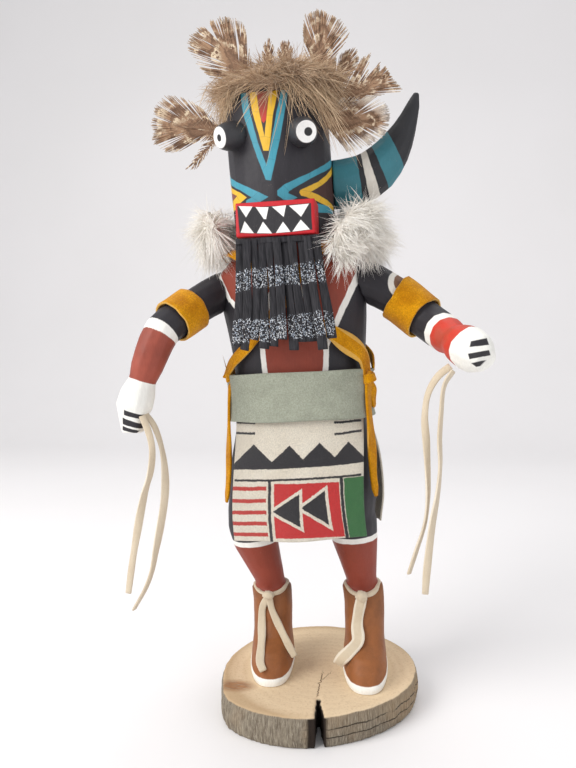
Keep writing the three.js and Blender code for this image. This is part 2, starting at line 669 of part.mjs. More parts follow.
function ruffBody() {
  const line = curveThrough(RUFF_ROUTE.map(([turn, share, rise]) => {
    const a = THREE.MathUtils.degToRad(turn);
    return vec(RUFF_RADIUS * share * Math.cos(a) + 1, RUFF_RADIUS * share * Math.sin(a), HEAD_Z + rise);
  }));
  const half = t => Math.sqrt(Math.max(1 - (2 * t - 1) ** 6, 0.16)) * (1 + 0.05 * Math.sin(26 * t));
  return swept(line, 8, 15, t => [RUFF_HEIGHT / 2 * half(t), RUFF_THICKNESS / 2 * half(t)], t => {
    const p = line.getPointAt(t);
    return vec(p.x, p.y, 0);
  });
}

const SASH_ROOM = FIRST_OFF + 1.5 * SUEDE_THICKNESS + 10 * CLEARANCE;
const shoulderRoom = torso(SASH_ROOM, 16);
const armRoom = ['right', 'left'].map(side => (
  armBody(side, 4 * CLEARANCE, 0, 0.5, 5)));
const bandRoom = ['right', 'left'].map(side => {
  const out = 5 * CLEARANCE + SUEDE_THICKNESS;
  return armBody(side, out, BAND_PLACE[side] - 0.1, BAND_PLACE[side] + 0.1, 2);
});
const ruffUpright = without(ruffBody(), [headRoom, shoulderRoom, hornRoom, ...armRoom, ...bandRoom]);

// Fur cap: a mound of soft down over the crown, with a ragged lower edge
const CAP_X = 4;
const CAP_Z = upHead(0.88);

function capBody() {
  return turned(18, 5, (turn, rise) => {
    const dome = Math.sin(Math.acos(THREE.MathUtils.clamp(rise * 1.28 - 0.28, -0.3, 1)));
    const lumps = 1 + 0.05 * Math.sin(5 * turn + 1) + 0.04 * Math.sin(9 * turn);
    const hang = 3 * Math.sin(7 * turn) * (1 - rise);
    return vec(
      CAP_X + CAP_HALF_WIDTH * dome * lumps * Math.cos(turn),
      CAP_HALF_DEPTH * dome * lumps * Math.sin(turn),
      CAP_Z - 5 + CAP_HEIGHT * rise - hang,
    );
  });
}

const capUpright = without(capBody(), [headRoom]);

// Feathers: short broad body feathers, base, tip, width and how far the vane bows
const FEATHERS = {
  feather_side_right: [vec(-27, 0, upHead(0.7)), vec(-66, -3, upHead(0.84)), 27, 4],
  feather_wisp: [vec(-26, -8, upHead(0.72)), vec(-49, -9, upHead(0.53)), 3.5, 1],
  feather_top_right: [vec(-6, -2, upHead(0.98)), vec(-38, 0, upHead(1.36)), 30, 3],
  feather_middle_right: [vec(1, -6, upHead(0.98)), vec(-1, -5, upHead(1.23)), 8, 1.5],
  feather_middle_left: [vec(9, -6, upHead(0.98)), vec(8, -5, upHead(1.22)), 9, 1.5],
  feather_top_left: [vec(20, 2, upHead(0.93)), vec(32, 4, upHead(1.36)), 23, 3],
  feather_back_left: [vec(28, 6, upHead(0.9)), vec(47, 8, upHead(1.17)), 13, 2],
  feather_side_left: [vec(26, -5, upHead(0.76)), vec(63, -4, upHead(0.92)), 20, 1.5],
  feather_low_left: [vec(25, -6, upHead(0.7)), vec(59, -6, upHead(0.58)), 27, 1.5],
};

function feather(base, tip, width, bow) {
  const along = tip.clone().sub(base);
  const side = along.clone().normalize().cross(vec(0, -1, 0)).normalize();
  const out = vec(0, -1, 0);
  return sheeted(2, 5, (across, down, through) => {
    const full = 0.5 * width * (0.16 + 0.84 * Math.sin(Math.PI * Math.min(down * 0.86 + 0.1, 1) ** 1.1) ** 0.7);
    const offset = (across - 0.5) * 2;
    return base.clone()
      .addScaledVector(along, down)
      .addScaledVector(side, offset * full)
      .addScaledVector(out, bow * Math.sin(Math.PI * down) - 0.22 * bow * offset ** 2)
      .addScaledVector(out, (through - 0.5) * VANE_THICKNESS);
  });
}

const feathersUpright = {};
for (const [name, [base, tip, width, bow]] of Object.entries(FEATHERS)) {
  const vane = without(feather(base, tip, width, bow), [headRoom, hornRoom]);
  feathersUpright[name] = clearOf(vane, capUpright, ...Object.values(feathersUpright));
}

// Boot laces: a strip rolled round each ankle on the boot's rim, with a knot in front and tails down the boot
const LACE_ROUND = 2.1;
const LACE_OFF = CLEARANCE + 2 * FACET_ROOM;

function lace(side, tails) {
  const onBoot = ([turn, rise, off = 0]) => (
    bootPoint(side, THREE.MathUtils.degToRad(turn), rise, LACE_OFF + LACE_THICKNESS / 2 + off));
  const knot = onBoot([-94, 1, 1.2]).add(vec(0, 0, 0.5));
  const collar = (off, low, high) => turned(14, 1, (turn, rise) => {
    const spot = bootPoint(side, turn, 1, off);
    return spot.setZ(spot.z + mix(low, high, rise));
  });
  const ball = new THREE.SphereGeometry(2.9, 7, 5).scale(1.2, 0.9, 1).translate(knot.x, knot.y, knot.z);
  return joined([
    collar(1.2, CLEARANCE, CLEARANCE + LACE_ROUND).subtract(collar(1.2 - LACE_ROUND, 0, LACE_ROUND + 1)),
    solid(ball),
    ...tails.map(([places, width]) => ribbon(
      curveThrough([knot, ...places.map(onBoot)]), 7, width, LACE_THICKNESS, () => vec(0, -1, 0.8))),
  ]);
}

// Places on each boot that the tails run over: turn in degrees, share of the boot's height, and how far off it
const RIGHT_LONG_TAIL = [
  [-112, 0.78], [-114, 0.6, 0.6], [-112, 0.45, 1], [-111, 0.35, 1], [-109, 0.26, 0.8], [-101, 0.2, 0.8],
];
const RIGHT_SHORT_TAIL = [[-90, 0.76], [-76, 0.58, 0.8], [-59, 0.42, 1.6], [-40, 0.24, 2.2]];
const LEFT_TAIL = [
  [-104, 0.78], [-108, 0.62, 0.8], [-106, 0.48, 1.6], [-122, 0.38, 2.2], [-138, 0.28, 2.8], [-147, 0.18, 3],
];
const bootLace = {
  right: lace(-1, [[RIGHT_LONG_TAIL, LACE_WIDTH], [RIGHT_SHORT_TAIL, 0.9 * LACE_WIDTH]]),
  left: lace(1, [[LEFT_TAIL, 1.5 * LACE_WIDTH]]),
};

// The pieces in their final places
piece('body', leaned(bodyUpright), BLACK_PAINT);
piece('head', leaned(headUpright), BLACK_PAINT);
piece('mouth_block', leaned(mouthUpright), RED_PAINT);
piece('eye_right', leaned(eyeRightUpright), WHITE_PAINT);
piece('eye_left', leaned(eyeLeftUpright), WHITE_PAINT);
piece('horn', leaned(hornUpright), TEAL_PAINT);
piece('arm_right', leaned(armUpright.right), BLACK_PAINT);
piece('arm_left', leaned(armUpright.left), BLACK_PAINT);
piece('armband_right', leaned(bandUpright.right), MUSTARD_SUEDE);
piece('armband_left', leaned(bandUpright.left), MUSTARD_SUEDE);
piece('kilt_front', leaned(kiltFrontUpright), PAINTED_CLOTH);
piece('kilt_back', leaned(kiltBackUpright), PAINTED_CLOTH);
piece('belt', leaned(beltUpright), SAGE_SUEDE);
piece('sash_right', leaned(sashUpright.right), MUSTARD_SUEDE);
piece('sash_left', leaned(sashUpright.left), MUSTARD_SUEDE);
piece('beard', leaned(beardUpright), BLACK_LEATHER);
piece('ruff', leaned(ruffUpright), WHITE_FUR);
piece('fur_cap', leaned(capUpright), BROWN_DOWN);
for (const [name, body] of Object.entries(feathersUpright)) piece(name, leaned(body), BARRED_FEATHER);
for (const [side, body] of Object.entries(bootLace)) {
  piece(`boot_lace_${side}`, leaned(body), CREAM_LEATHER);
}

// Thongs: two soft leather strips that hang from each fist
const THONGS = {
  thong_right_inner: [
    [-83.5, -45.5, 160], [-78.5, -46.2, 154], [-75, -46.5, 146], [-73, -46.5, 137], [-72.5, -46.4, 126],
    [-73.5, -46.2, 114], [-75.5, -46, 103], [-78, -45.8, 91], [-80.5, -45.6, 79], [-84, -45.4, 70],
    [-91, -45, 58],
  ],
  thong_right_outer: [
    [-83, -49.4, 158], [-79.4, -50.4, 150], [-77.4, -50.6, 141], [-78.4, -50.4, 130], [-82, -50, 119],
    [-85, -49.6, 108], [-87.4, -49.4, 97], [-90, -49.2, 84], [-92.6, -49, 68],
  ],
  thong_left_inner: [
    [66, -36.5, 181], [60, -37, 176], [55.5, -37.2, 168], [54, -37.2, 157], [55, -37.2, 144],
    [55.8, -37, 131], [56, -36.8, 118], [54.5, -36.6, 105], [50.5, -36.4, 92], [46.8, -36, 80],
  ],
  thong_left_outer: [
    [67.5, -40.5, 178.5], [63.5, -41, 172], [62, -41.2, 160], [61.2, -41.2, 147], [61.5, -41, 134],
    [60.3, -40.8, 121], [58, -40.6, 108], [56.2, -40.4, 95], [54.8, -40.2, 83], [54, -40, 72],
  ],
};

function thong(points) {
  const line = curveThrough(points.map(([x, y, z]) => vec(x, y, z)));
  const section = new THREE.Shape();
  section.absarc(0, 0, THONG_DIAMETER / 2, 0, 2 * Math.PI);
  return solid(new THREE.ExtrudeGeometry(section, { curveSegments: 3, steps: 14, extrudePath: line }));
}

for (const [name, points] of Object.entries(THONGS)) {
  piece(name, clearOf(thong(points), made.arm_right, made.arm_left), CREAM_LEATHER);
}

export default doll;
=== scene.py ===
# A carved and painted kachina doll on a log slice, dressed in leather, suede, cloth, fur and feathers.
# Every size in the sections is in millimetres, and meshes are put into metres when they are finished.
import math
import random
import bmesh
import bpy
import numpy as np
from mathutils import Matrix, Vector, noise


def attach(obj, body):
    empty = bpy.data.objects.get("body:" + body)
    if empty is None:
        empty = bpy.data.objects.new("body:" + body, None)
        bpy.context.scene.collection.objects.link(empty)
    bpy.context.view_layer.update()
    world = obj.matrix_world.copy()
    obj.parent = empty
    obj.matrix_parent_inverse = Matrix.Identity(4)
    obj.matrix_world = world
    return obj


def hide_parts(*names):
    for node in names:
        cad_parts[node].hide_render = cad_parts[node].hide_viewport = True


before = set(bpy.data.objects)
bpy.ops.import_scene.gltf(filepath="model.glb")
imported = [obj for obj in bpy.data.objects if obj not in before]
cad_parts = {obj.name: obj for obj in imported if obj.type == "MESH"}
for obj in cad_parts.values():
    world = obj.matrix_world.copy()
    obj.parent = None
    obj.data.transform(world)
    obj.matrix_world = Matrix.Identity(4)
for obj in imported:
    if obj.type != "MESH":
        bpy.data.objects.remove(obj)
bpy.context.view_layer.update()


# The studio: a pale floor that runs up into a backdrop, a big soft light on the camera's left and a
# weaker fill on its right, and the camera a little above the doll's waist, tipped slightly down.
MM = 0.001
FOCAL_LENGTH, PICTURE_HEIGHT = 636, 768
SENSOR_HEIGHT = 36
CAMERA_AZIMUTH = math.radians(7.0)
CAMERA_YAW = math.atan(33 / FOCAL_LENGTH)
CAMERA_PITCH = math.radians(-2.25)
CAMERA_ROLL = math.radians(0.65)
CAMERA_DISTANCE = 348.0
CAMERA_HEIGHT = 185.0
UP = Vector((0, 0, 1))


def stood(name, data):
    """A new object, put in the scene."""
    thing = bpy.data.objects.new(name, data)
    bpy.context.scene.collection.objects.link(thing)
    return thing


def aim_camera():
    across = Vector((math.cos(CAMERA_AZIMUTH), math.sin(CAMERA_AZIMUTH), 0))
    ahead = Vector((-math.sin(CAMERA_AZIMUTH), math.cos(CAMERA_AZIMUTH), 0))
    place = (-ahead * CAMERA_DISTANCE + UP * CAMERA_HEIGHT) * MM
    look = ahead * math.cos(CAMERA_YAW) - across * math.sin(CAMERA_YAW)
    side = across * math.cos(CAMERA_YAW) + ahead * math.sin(CAMERA_YAW)
    view = look * math.cos(CAMERA_PITCH) + UP * math.sin(CAMERA_PITCH)
    top = UP * math.cos(CAMERA_PITCH) - look * math.sin(CAMERA_PITCH)
    x_axis = side * math.cos(CAMERA_ROLL) - top * math.sin(CAMERA_ROLL)
    y_axis = top * math.cos(CAMERA_ROLL) + side * math.sin(CAMERA_ROLL)
    data = bpy.data.cameras.new("camera")
    data.sensor_fit = "VERTICAL"
    data.sensor_height = SENSOR_HEIGHT
    data.lens = FOCAL_LENGTH / PICTURE_HEIGHT * SENSOR_HEIGHT
    data.clip_start = 0.01
    camera = stood("camera", data)
    turn = Matrix((x_axis, y_axis, -view)).transposed().to_4x4()
    camera.matrix_world = Matrix.Translation(place) @ turn
    bpy.context.scene.camera = camera


aim_camera()


def softbox(name, place, target, size, power, color):
    data = bpy.data.lights.new(name, "AREA")
    data.shape = "RECTANGLE"
    data.size, data.size_y = size
    data.energy = power
    data.color = color
    light = stood(name, data)
    light.location = place
    light.rotation_euler = (Vector(target) - Vector(place)).to_track_quat("-Z", "Y").to_euler()


softbox("key_light", (-0.85, -0.7, 0.85), (0, 0, 0.18), (0.8, 0.8), 14, (1, 0.985, 0.96))
softbox("fill_light", (1.1, -0.7, 0.55), (0, 0, 0.18), (0.9, 0.9), 2.6, (0.97, 0.98, 1))
softbox("top_light", (0.1, 0.35, 1.25), (0, 0, 0.15), (0.8, 0.6), 3.5, (1, 1, 1))
bpy.context.scene.view_settings.view_transform = "Standard"

world = bpy.data.worlds.new("studio_air")
bpy.context.scene.world = world
world.use_nodes = True
world.node_tree.nodes["Background"].inputs["Color"].default_value = (0.93, 0.935, 0.95, 1)
world.node_tree.nodes["Background"].inputs["Strength"].default_value = 0.66


def arithmetic(operation):
    """A method that adds one Math node behind the wire it is called on."""
    return lambda wire, *values: wire.curve(operation, *values)


class Wire:
    """A socket of a finish's node tree, with arithmetic that adds Math nodes."""

    def __init__(self, finish, socket):
        self.finish = finish
        self.socket = socket

    def curve(self, operation, *values):
        return self.finish.node("ShaderNodeMath", self, *values, operation=operation)

    def __rsub__(self, other):
        return self.finish.node("ShaderNodeMath", other, self, operation="SUBTRACT")

    def __neg__(self):
        return self * -1

    __add__ = __radd__ = arithmetic("ADD")
    __sub__ = arithmetic("SUBTRACT")
    __mul__ = __rmul__ = arithmetic("MULTIPLY")
    __truediv__ = arithmetic("DIVIDE")
    __abs__ = arithmetic("ABSOLUTE")
    __or__ = arithmetic("MAXIMUM")
    __and__ = arithmetic("MINIMUM")
    scaled_plus = arithmetic("MULTIPLY_ADD")


class Finish:
    """A material, with one method that adds any node: its settings are named, its values go in order."""

    def __init__(self, name, **constants):
        self.material = bpy.data.materials.new(name)
        self.material.use_nodes = True
        self.tree = self.material.node_tree
        self.shader = self.tree.nodes["Principled BSDF"]
        for socket, value in constants.items():
            self.shader.inputs[socket.replace("_", " ")].default_value = value

    def put(self, socket, value):
        if isinstance(value, Wire):
            self.tree.links.new(value.socket, socket)
        elif value is not None:
            socket.default_value = value

    def node(self, kind, *values, out=0, stops=None, named=None, **settings):
        node = self.tree.nodes.new(kind)
        for setting, value in settings.items():
            setattr(node, setting, value)
        if stops:
            ramp = node.color_ramp.elements
            for i, (place, color) in enumerate(stops):
                element = ramp[i] if i < 2 else ramp.new(place)
                element.position = place
                element.color = color
        for i, value in enumerate(values):
            self.put(node.inputs[i], value)
        for socket, value in (named or {}).items():
            self.put(node.inputs[socket], value)
        return Wire(self, node.outputs[out])

    def place(self):
        return self.node("ShaderNodeTexCoord", out="Object")

    def attribute(self, name, out="Vector"):
        return self.node("ShaderNodeAttribute", attribute_name=name, out=out)

    def parts(self, vector):
        split = self.node("ShaderNodeSeparateXYZ", vector)
        outputs = split.socket.node.outputs
        return [Wire(self, outputs[i]) for i in range(3)]

    def spot(self, x=0.0, y=0.0, z=0.0):
        return self.node("ShaderNodeCombineXYZ", x, y, z)

    def grain(self, vector, scale, detail=3.0, rough=0.55, distortion=0.0, out=0):
        sockets = {"Vector": vector, "Scale": scale, "Detail": detail, "Roughness": rough,
                   "Distortion": distortion}
        return self.node("ShaderNodeTexNoise", named=sockets, out=out)

    def cells(self, vector, scale, feature="F1", out="Distance", randomness=1.0):
        sockets = {"Vector": vector, "Scale": scale, "Randomness": randomness}
        return self.node("ShaderNodeTexVoronoi", named=sockets, feature=feature, out=out)

    def stretched(self, vector, scale=(1, 1, 1), turn=(0, 0, 0), move=(0, 0, 0)):
        sockets = {"Vector": vector, "Scale": scale, "Rotation": turn, "Location": move}
        return self.node("ShaderNodeMapping", named=sockets)

    def mixed(self, share, first, second):
        mix = self.node("ShaderNodeMix", data_type="RGBA", clamp_factor=True, out=2)
        inputs = mix.socket.node.inputs
        self.put(inputs[0], share)
        self.put(inputs[6], first)
        self.put(inputs[7], second)
        return mix

    def ranged(self, value, low, high, to_low=0.0, to_high=1.0):
        return self.node("ShaderNodeMapRange", value, low, high, to_low, to_high, clamp=True)

    def shine(self, **inputs):
        for socket, value in inputs.items():
            self.put(self.shader.inputs[socket.replace("_", " ")], value)
        return self.material

    def bumps(self, height, distance, strength=1.0, over=None):
        sockets = {"Height": height, "Distance": distance, "Strength": strength}
        if over is not None:
            sockets["Normal"] = over
        return self.node("ShaderNodeBump", named=sockets)


def rgb(red, green, blue):
    """A colour given as it looks, from 0 to 255, turned into the linear values that shaders use."""
    return tuple((v / 255 / 12.92 if v / 255 <= 0.04045 else ((v / 255 + 0.055) / 1.055) ** 2.4)
                 for v in (red, green, blue)) + (1,)


def shaped_object(name, shape, finish=None, smooth=True):
    """A bmesh or mesh in millimetres becomes an object in metres."""
    mesh = shape
    if isinstance(shape, bmesh.types.BMesh):
        mesh = bpy.data.meshes.new(name)
        shape.to_mesh(mesh)
        shape.free()
    mesh.transform(Matrix.Scale(MM, 4))
    mesh.polygons.foreach_set("use_smooth", [smooth] * len(mesh.polygons))
    if finish:
        mesh.materials.append(finish)
    return stood(name, mesh)


def set_piece(name, shape, finish=None, smooth=True, stands_for=()):
    """A finished piece that rides with the doll."""
    piece = shaped_object(name, shape, finish, smooth)
    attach(piece, "root")
    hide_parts(*stands_for)
    return piece


FLOOR_WIDTH, FLOOR_FRONT, FLOOR_BACK, FLOOR_RISE, FLOOR_BEND = 3000, -1500, 900, 1800, 500
FLOOR_DROP = 0.15


def studio_floor():
    side = -FLOOR_WIDTH / 2
    bm = bmesh.new()
    edge = [bm.verts.new((side, FLOOR_FRONT, -FLOOR_DROP))]
    for i in range(13):
        a = math.pi / 2 * i / 12
        height = FLOOR_BEND * (1 - math.cos(a)) - FLOOR_DROP
        edge.append(bm.verts.new((side, FLOOR_BACK + FLOOR_BEND * math.sin(a), height)))
    edge.append(bm.verts.new((side, FLOOR_BACK + FLOOR_BEND, FLOOR_RISE)))
    edges = [bm.edges.new(pair) for pair in zip(edge, edge[1:])]
    drawn = bmesh.ops.extrude_edge_only(bm, edges=edges)["geom"]
    moved = [g for g in drawn if isinstance(g, bmesh.types.BMVert)]
    bmesh.ops.translate(bm, verts=moved, vec=(FLOOR_WIDTH, 0, 0))
    bmesh.ops.recalc_face_normals(bm, faces=bm.faces)
    paper = Finish("backdrop_paper", Roughness=0.9, Specular_IOR_Level=0.2)
    soft = paper.grain(paper.place(), 3.0, 2.0)
    color = paper.mixed(soft, rgb(236, 234, 234), rgb(242, 240, 241))
    return shaped_object("studio_floor", bm, paper.shine(Base_Color=color))


floor = studio_floor()


# Thongs: two soft strips of undyed leather hang from each fist, held in it by their upper ends, and
# reach down past the knees. They were cut by hand, so their width wanders and their faces turn.
THONG_WIDTH = 4.0
THONG_THICKNESS = 1.1
SHARP_EDGE = 0.9
STRIP_WEAR, SHEET_WEAR = 0.25, 0.22
THONG_ROUTES = {
    "thong_right_inner": ([
        (-83.5, -45.5, 160), (-78.5, -46.2, 154), (-75, -46.5, 146), (-73, -46.5, 137), (-72.5, -46.4, 126),
        (-73.5, -46.2, 114), (-75.5, -46, 103), (-78, -45.8, 91), (-80.5, -45.6, 79), (-84, -45.4, 70),
        (-91, -45, 58),
    ], [70, 60, 70, 55, 30, 35, 45, 60, 72, 78, 80]),
    "thong_right_outer": ([
        (-83, -49.4, 158), (-79.4, -50.4, 150), (-77.4, -50.6, 141), (-78.4, -50.4, 130), (-82, -50, 119),
        (-85, -49.6, 108), (-87.4, -49.4, 97), (-90, -49.2, 84), (-92.6, -49, 68),
    ], [40, 20, 50, 75, 40, 15, 5, 0, 0]),
    "thong_left_inner": ([
        (66, -36.5, 181), (60, -37, 176), (55.5, -37.2, 168), (54, -37.2, 157), (55, -37.2, 144),
        (55.8, -37, 131), (56, -36.8, 118), (54.5, -36.6, 105), (50.5, -36.4, 92), (46.8, -36, 80),
    ], [-30, -30, -20, 5, 35, 60, 72, 70, 62, 60]),
    "thong_left_outer": ([
        (67.5, -40.5, 178.5), (63.5, -41, 172), (62, -41.2, 160), (61.2, -41.2, 147), (61.5, -41, 134),
        (60.3, -40.8, 121), (58, -40.6, 108), (56.2, -40.4, 95), (54.8, -40.2, 83), (54, -40, 72),
    ], [60, 65, 50, 60, 70, 62, 45, 25, 10, 5]),
}


def along_points(points, steps, power=0.5):
    """A smooth line through the points, as the solids' own curves are, at even steps of its length."""
    p = [np.array(q, float) for q in points]
    p = [2 * p[0] - p[1]] + p + [2 * p[-1] - p[-2]]
    fine = []
    for i in range(1, len(p) - 2):
        gaps = [max(np.linalg.norm(p[i + k] - p[i + k - 1]) ** power, 1e-4) for k in range(3)]
        knots = np.cumsum([0] + gaps)
        for t in np.linspace(knots[1], knots[2], 24, endpoint=False):
            a = [((knots[k + 1] - t) * p[i - 1 + k] + (t - knots[k]) * p[i + k]) / gaps[k] for k in range(3)]
            b = [((knots[k + 2] - t) * a[k] + (t - knots[k]) * a[k + 1]) / (knots[k + 2] - knots[k])
                 for k in range(2)]
            fine.append(((knots[2] - t) * b[0] + (t - knots[1]) * b[1]) / (knots[2] - knots[1]))
    fine = np.array(fine + [p[-2]])
    run = np.concatenate([[0], np.cumsum(np.linalg.norm(np.diff(fine, axis=0), axis=1))])
    even = np.linspace(0, run[-1], steps + 1)
    return np.stack([np.interp(even, run, fine[:, k]) for k in range(3)], 1), run[-1]


def laid_sheet(columns, rows, lay, thickness, wear, strip):
    """A sheet of even thickness with worn edges: lay(x, y) gives a corner's place and its flat place.

    Its UV map holds the flat places, across and along in millimetres."""
    bm = bmesh.new()
    bmesh.ops.create_grid(bm, x_segments=columns, y_segments=rows, size=0.5)
    uv = bm.loops.layers.uv.new("UVMap")
    flat = {}
    for v in bm.verts:
        v.co, flat[v] = lay(v.co.x, v.co.y)
    for f in bm.faces:
        for loop in f.loops:
            loop[uv].uv = flat[loop.vert]
    if strip:
        bmesh.ops.recalc_face_normals(bm, faces=bm.faces)
    else:
        bm.normal_update()
    bmesh.ops.solidify(bm, geom=bm.faces[:], thickness=thickness)
    bm.normal_update()
    bmesh.ops.recalc_face_normals(bm, faces=bm.faces)
    rim = [e for e in bm.edges if e.calc_face_angle(0) > SHARP_EDGE]
    bmesh.ops.bevel(bm, geom=rim, offset=thickness * wear, offset_type="OFFSET", segments=1, profile=0.5,
                    affect="EDGES", material=-1)
    return bm


def cut_strip(line, facing, width, thickness, columns=2):
    """A flat strip along a line: width(t) across it, its face turned to facing(i)."""
    rows = len(line) - 1
    run = np.concatenate([[0], np.cumsum(np.linalg.norm(np.diff(line, axis=0), axis=1))])

    def lay(across, along):
        i = min(max(round((along + 0.5) * rows), 0), rows)
        ahead = Vector(line[min(i + 1, rows)] - line[max(i - 1, 0)]).normalized()
        out = Vector(facing(i))
        out = (out - ahead * out.dot(ahead)).normalized()
        wide = width(i / rows)
        return Vector(line[i]) + ahead.cross(out) * across * wide, (across * wide, run[i])

    return laid_sheet(columns, rows, lay, thickness, STRIP_WEAR, True)


def leather_strip_finish(name, face, edge, fuzz, width):
    leather = Finish(name, Roughness=0.85, Specular_IOR_Level=0.25, Sheen_Weight=0.25, Sheen_Roughness=0.6)
    place = leather.place()
    blotch = leather.grain(place, 90, 3, 0.6)
    fine = leather.grain(place, 1400, 3, 0.7)
    across, _, _ = leather.parts(leather.node("ShaderNodeTexCoord", out="UV"))
    rim = leather.ranged(abs(across) * (2 / width), 0.82, 1.0)
    color = leather.mixed(blotch, face, fuzz)
    color = leather.mixed(rim * 0.8, color, edge)
    color = leather.mixed(fine * 0.25, color, (0.35, 0.27, 0.19, 1))
    creases = leather.grain(leather.stretched(place, (300, 300, 80)), 1, 3)
    return leather.shine(Base_Color=color, Roughness=leather.ranged(fine, 0.3, 0.7, 0.75, 0.95),
                         Normal=leather.bumps(fine + creases, 0.00025))


cream_leather = leather_strip_finish("cream_leather", rgb(226, 212, 188), rgb(240, 230, 212),
                                     rgb(205, 188, 162), THONG_WIDTH)
for name, (route, turns) in THONG_ROUTES.items():
    line, length = along_points(route, 60)
    spread = np.interp(np.linspace(0, 1, 61), np.linspace(0, 1, len(turns)), turns)

    def facing(i):
        a = math.radians(spread[i])
        return (math.sin(a), -math.cos(a), 0)

    def width(t):
        return THONG_WIDTH * (0.9 + 0.12 * math.sin(7 * t + len(name)) + 0.06 * math.sin(23 * t))

    thong = set_piece(name.replace("thong", "leather_thong"),
                      cut_strip(line, facing, width, THONG_THICKNESS), cream_leather,
                      stands_for=[name])


# Base slab: a slice sawn from a small dry log, its bark gone, the rim weathered grey and split by the
# weather from the front edge to near its middle. The sawn top is bare and warm, with one knot.
LOG_TAN = rgb(221, 197, 164)


def triples(elements, kind):
    """A mesh's places or directions of one kind, as rows of three."""
    values = np.empty(len(elements) * 3)
    elements.foreach_get(kind, values)
    return values.reshape(-1, 3)


def refined_copy(node, grain, rounds, push=None):
    """A copy of a solid's mesh in millimetres, remade in even small faces and worn a little."""
    bm = bmesh.new()
    bm.from_mesh(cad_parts[node].data)
    bmesh.ops.scale(bm, vec=(1000, 1000, 1000), verts=bm.verts)
    bmesh.ops.remove_doubles(bm, verts=bm.verts, dist=0.001)
    mesh = bpy.data.meshes.new(node + "_blank")
    bm.to_mesh(mesh)
    bm.free()
    blank = stood(node + "_blank", mesh)
    remesh = blank.modifiers.new("grain", "REMESH")
    remesh.mode = "VOXEL"
    remesh.voxel_size = grain
    if rounds:
        worn = blank.modifiers.new("worn", "SMOOTH")
        worn.factor = 0.5
        worn.iterations = rounds
    shown = blank.evaluated_get(bpy.context.evaluated_depsgraph_get())
    refined = bpy.data.meshes.new_from_object(shown)
    bpy.data.objects.remove(blank)
    if push:
        moved = push(triples(refined.vertices, "co"), triples(refined.vertices, "normal"))
        refined.vertices.foreach_set("co", moved.ravel())
        refined.update()
    return refined


def weathered(points, normals):
    moved = points.copy()
    radius = np.hypot(points[:, 0], points[:, 1])
    for i, (x, y, z) in enumerate(points):
        side = max(0.0, 1 - abs(normals[i, 2]) * 1.6)
        if side <= 0:
            continue
        a = math.atan2(y, x)
        fibres = noise.noise(Vector((a * 55, 0.05 * z, 3)))
        fibres += 0.6 * noise.noise(Vector((a * 120, 0.12 * z, 9)))
        splits = min(0.0, noise.noise(Vector((a * 26, 0.03 * z, 20))) + 0.25)
        crack = 1.0 if radius[i] < 47 else 0.0
        jag = 0.9 * noise.noise(Vector((x * 0.2, y * 0.45, z * 0.35)))
        moved[i] += normals[i] * side * ((0.35 * fibres + 1.1 * splits) * (1 - crack) + jag * crack)
    return moved


slab = set_piece("log_slice", refined_copy("base_slab", 0.9, 2, weathered),
                 stands_for=["base_slab"])


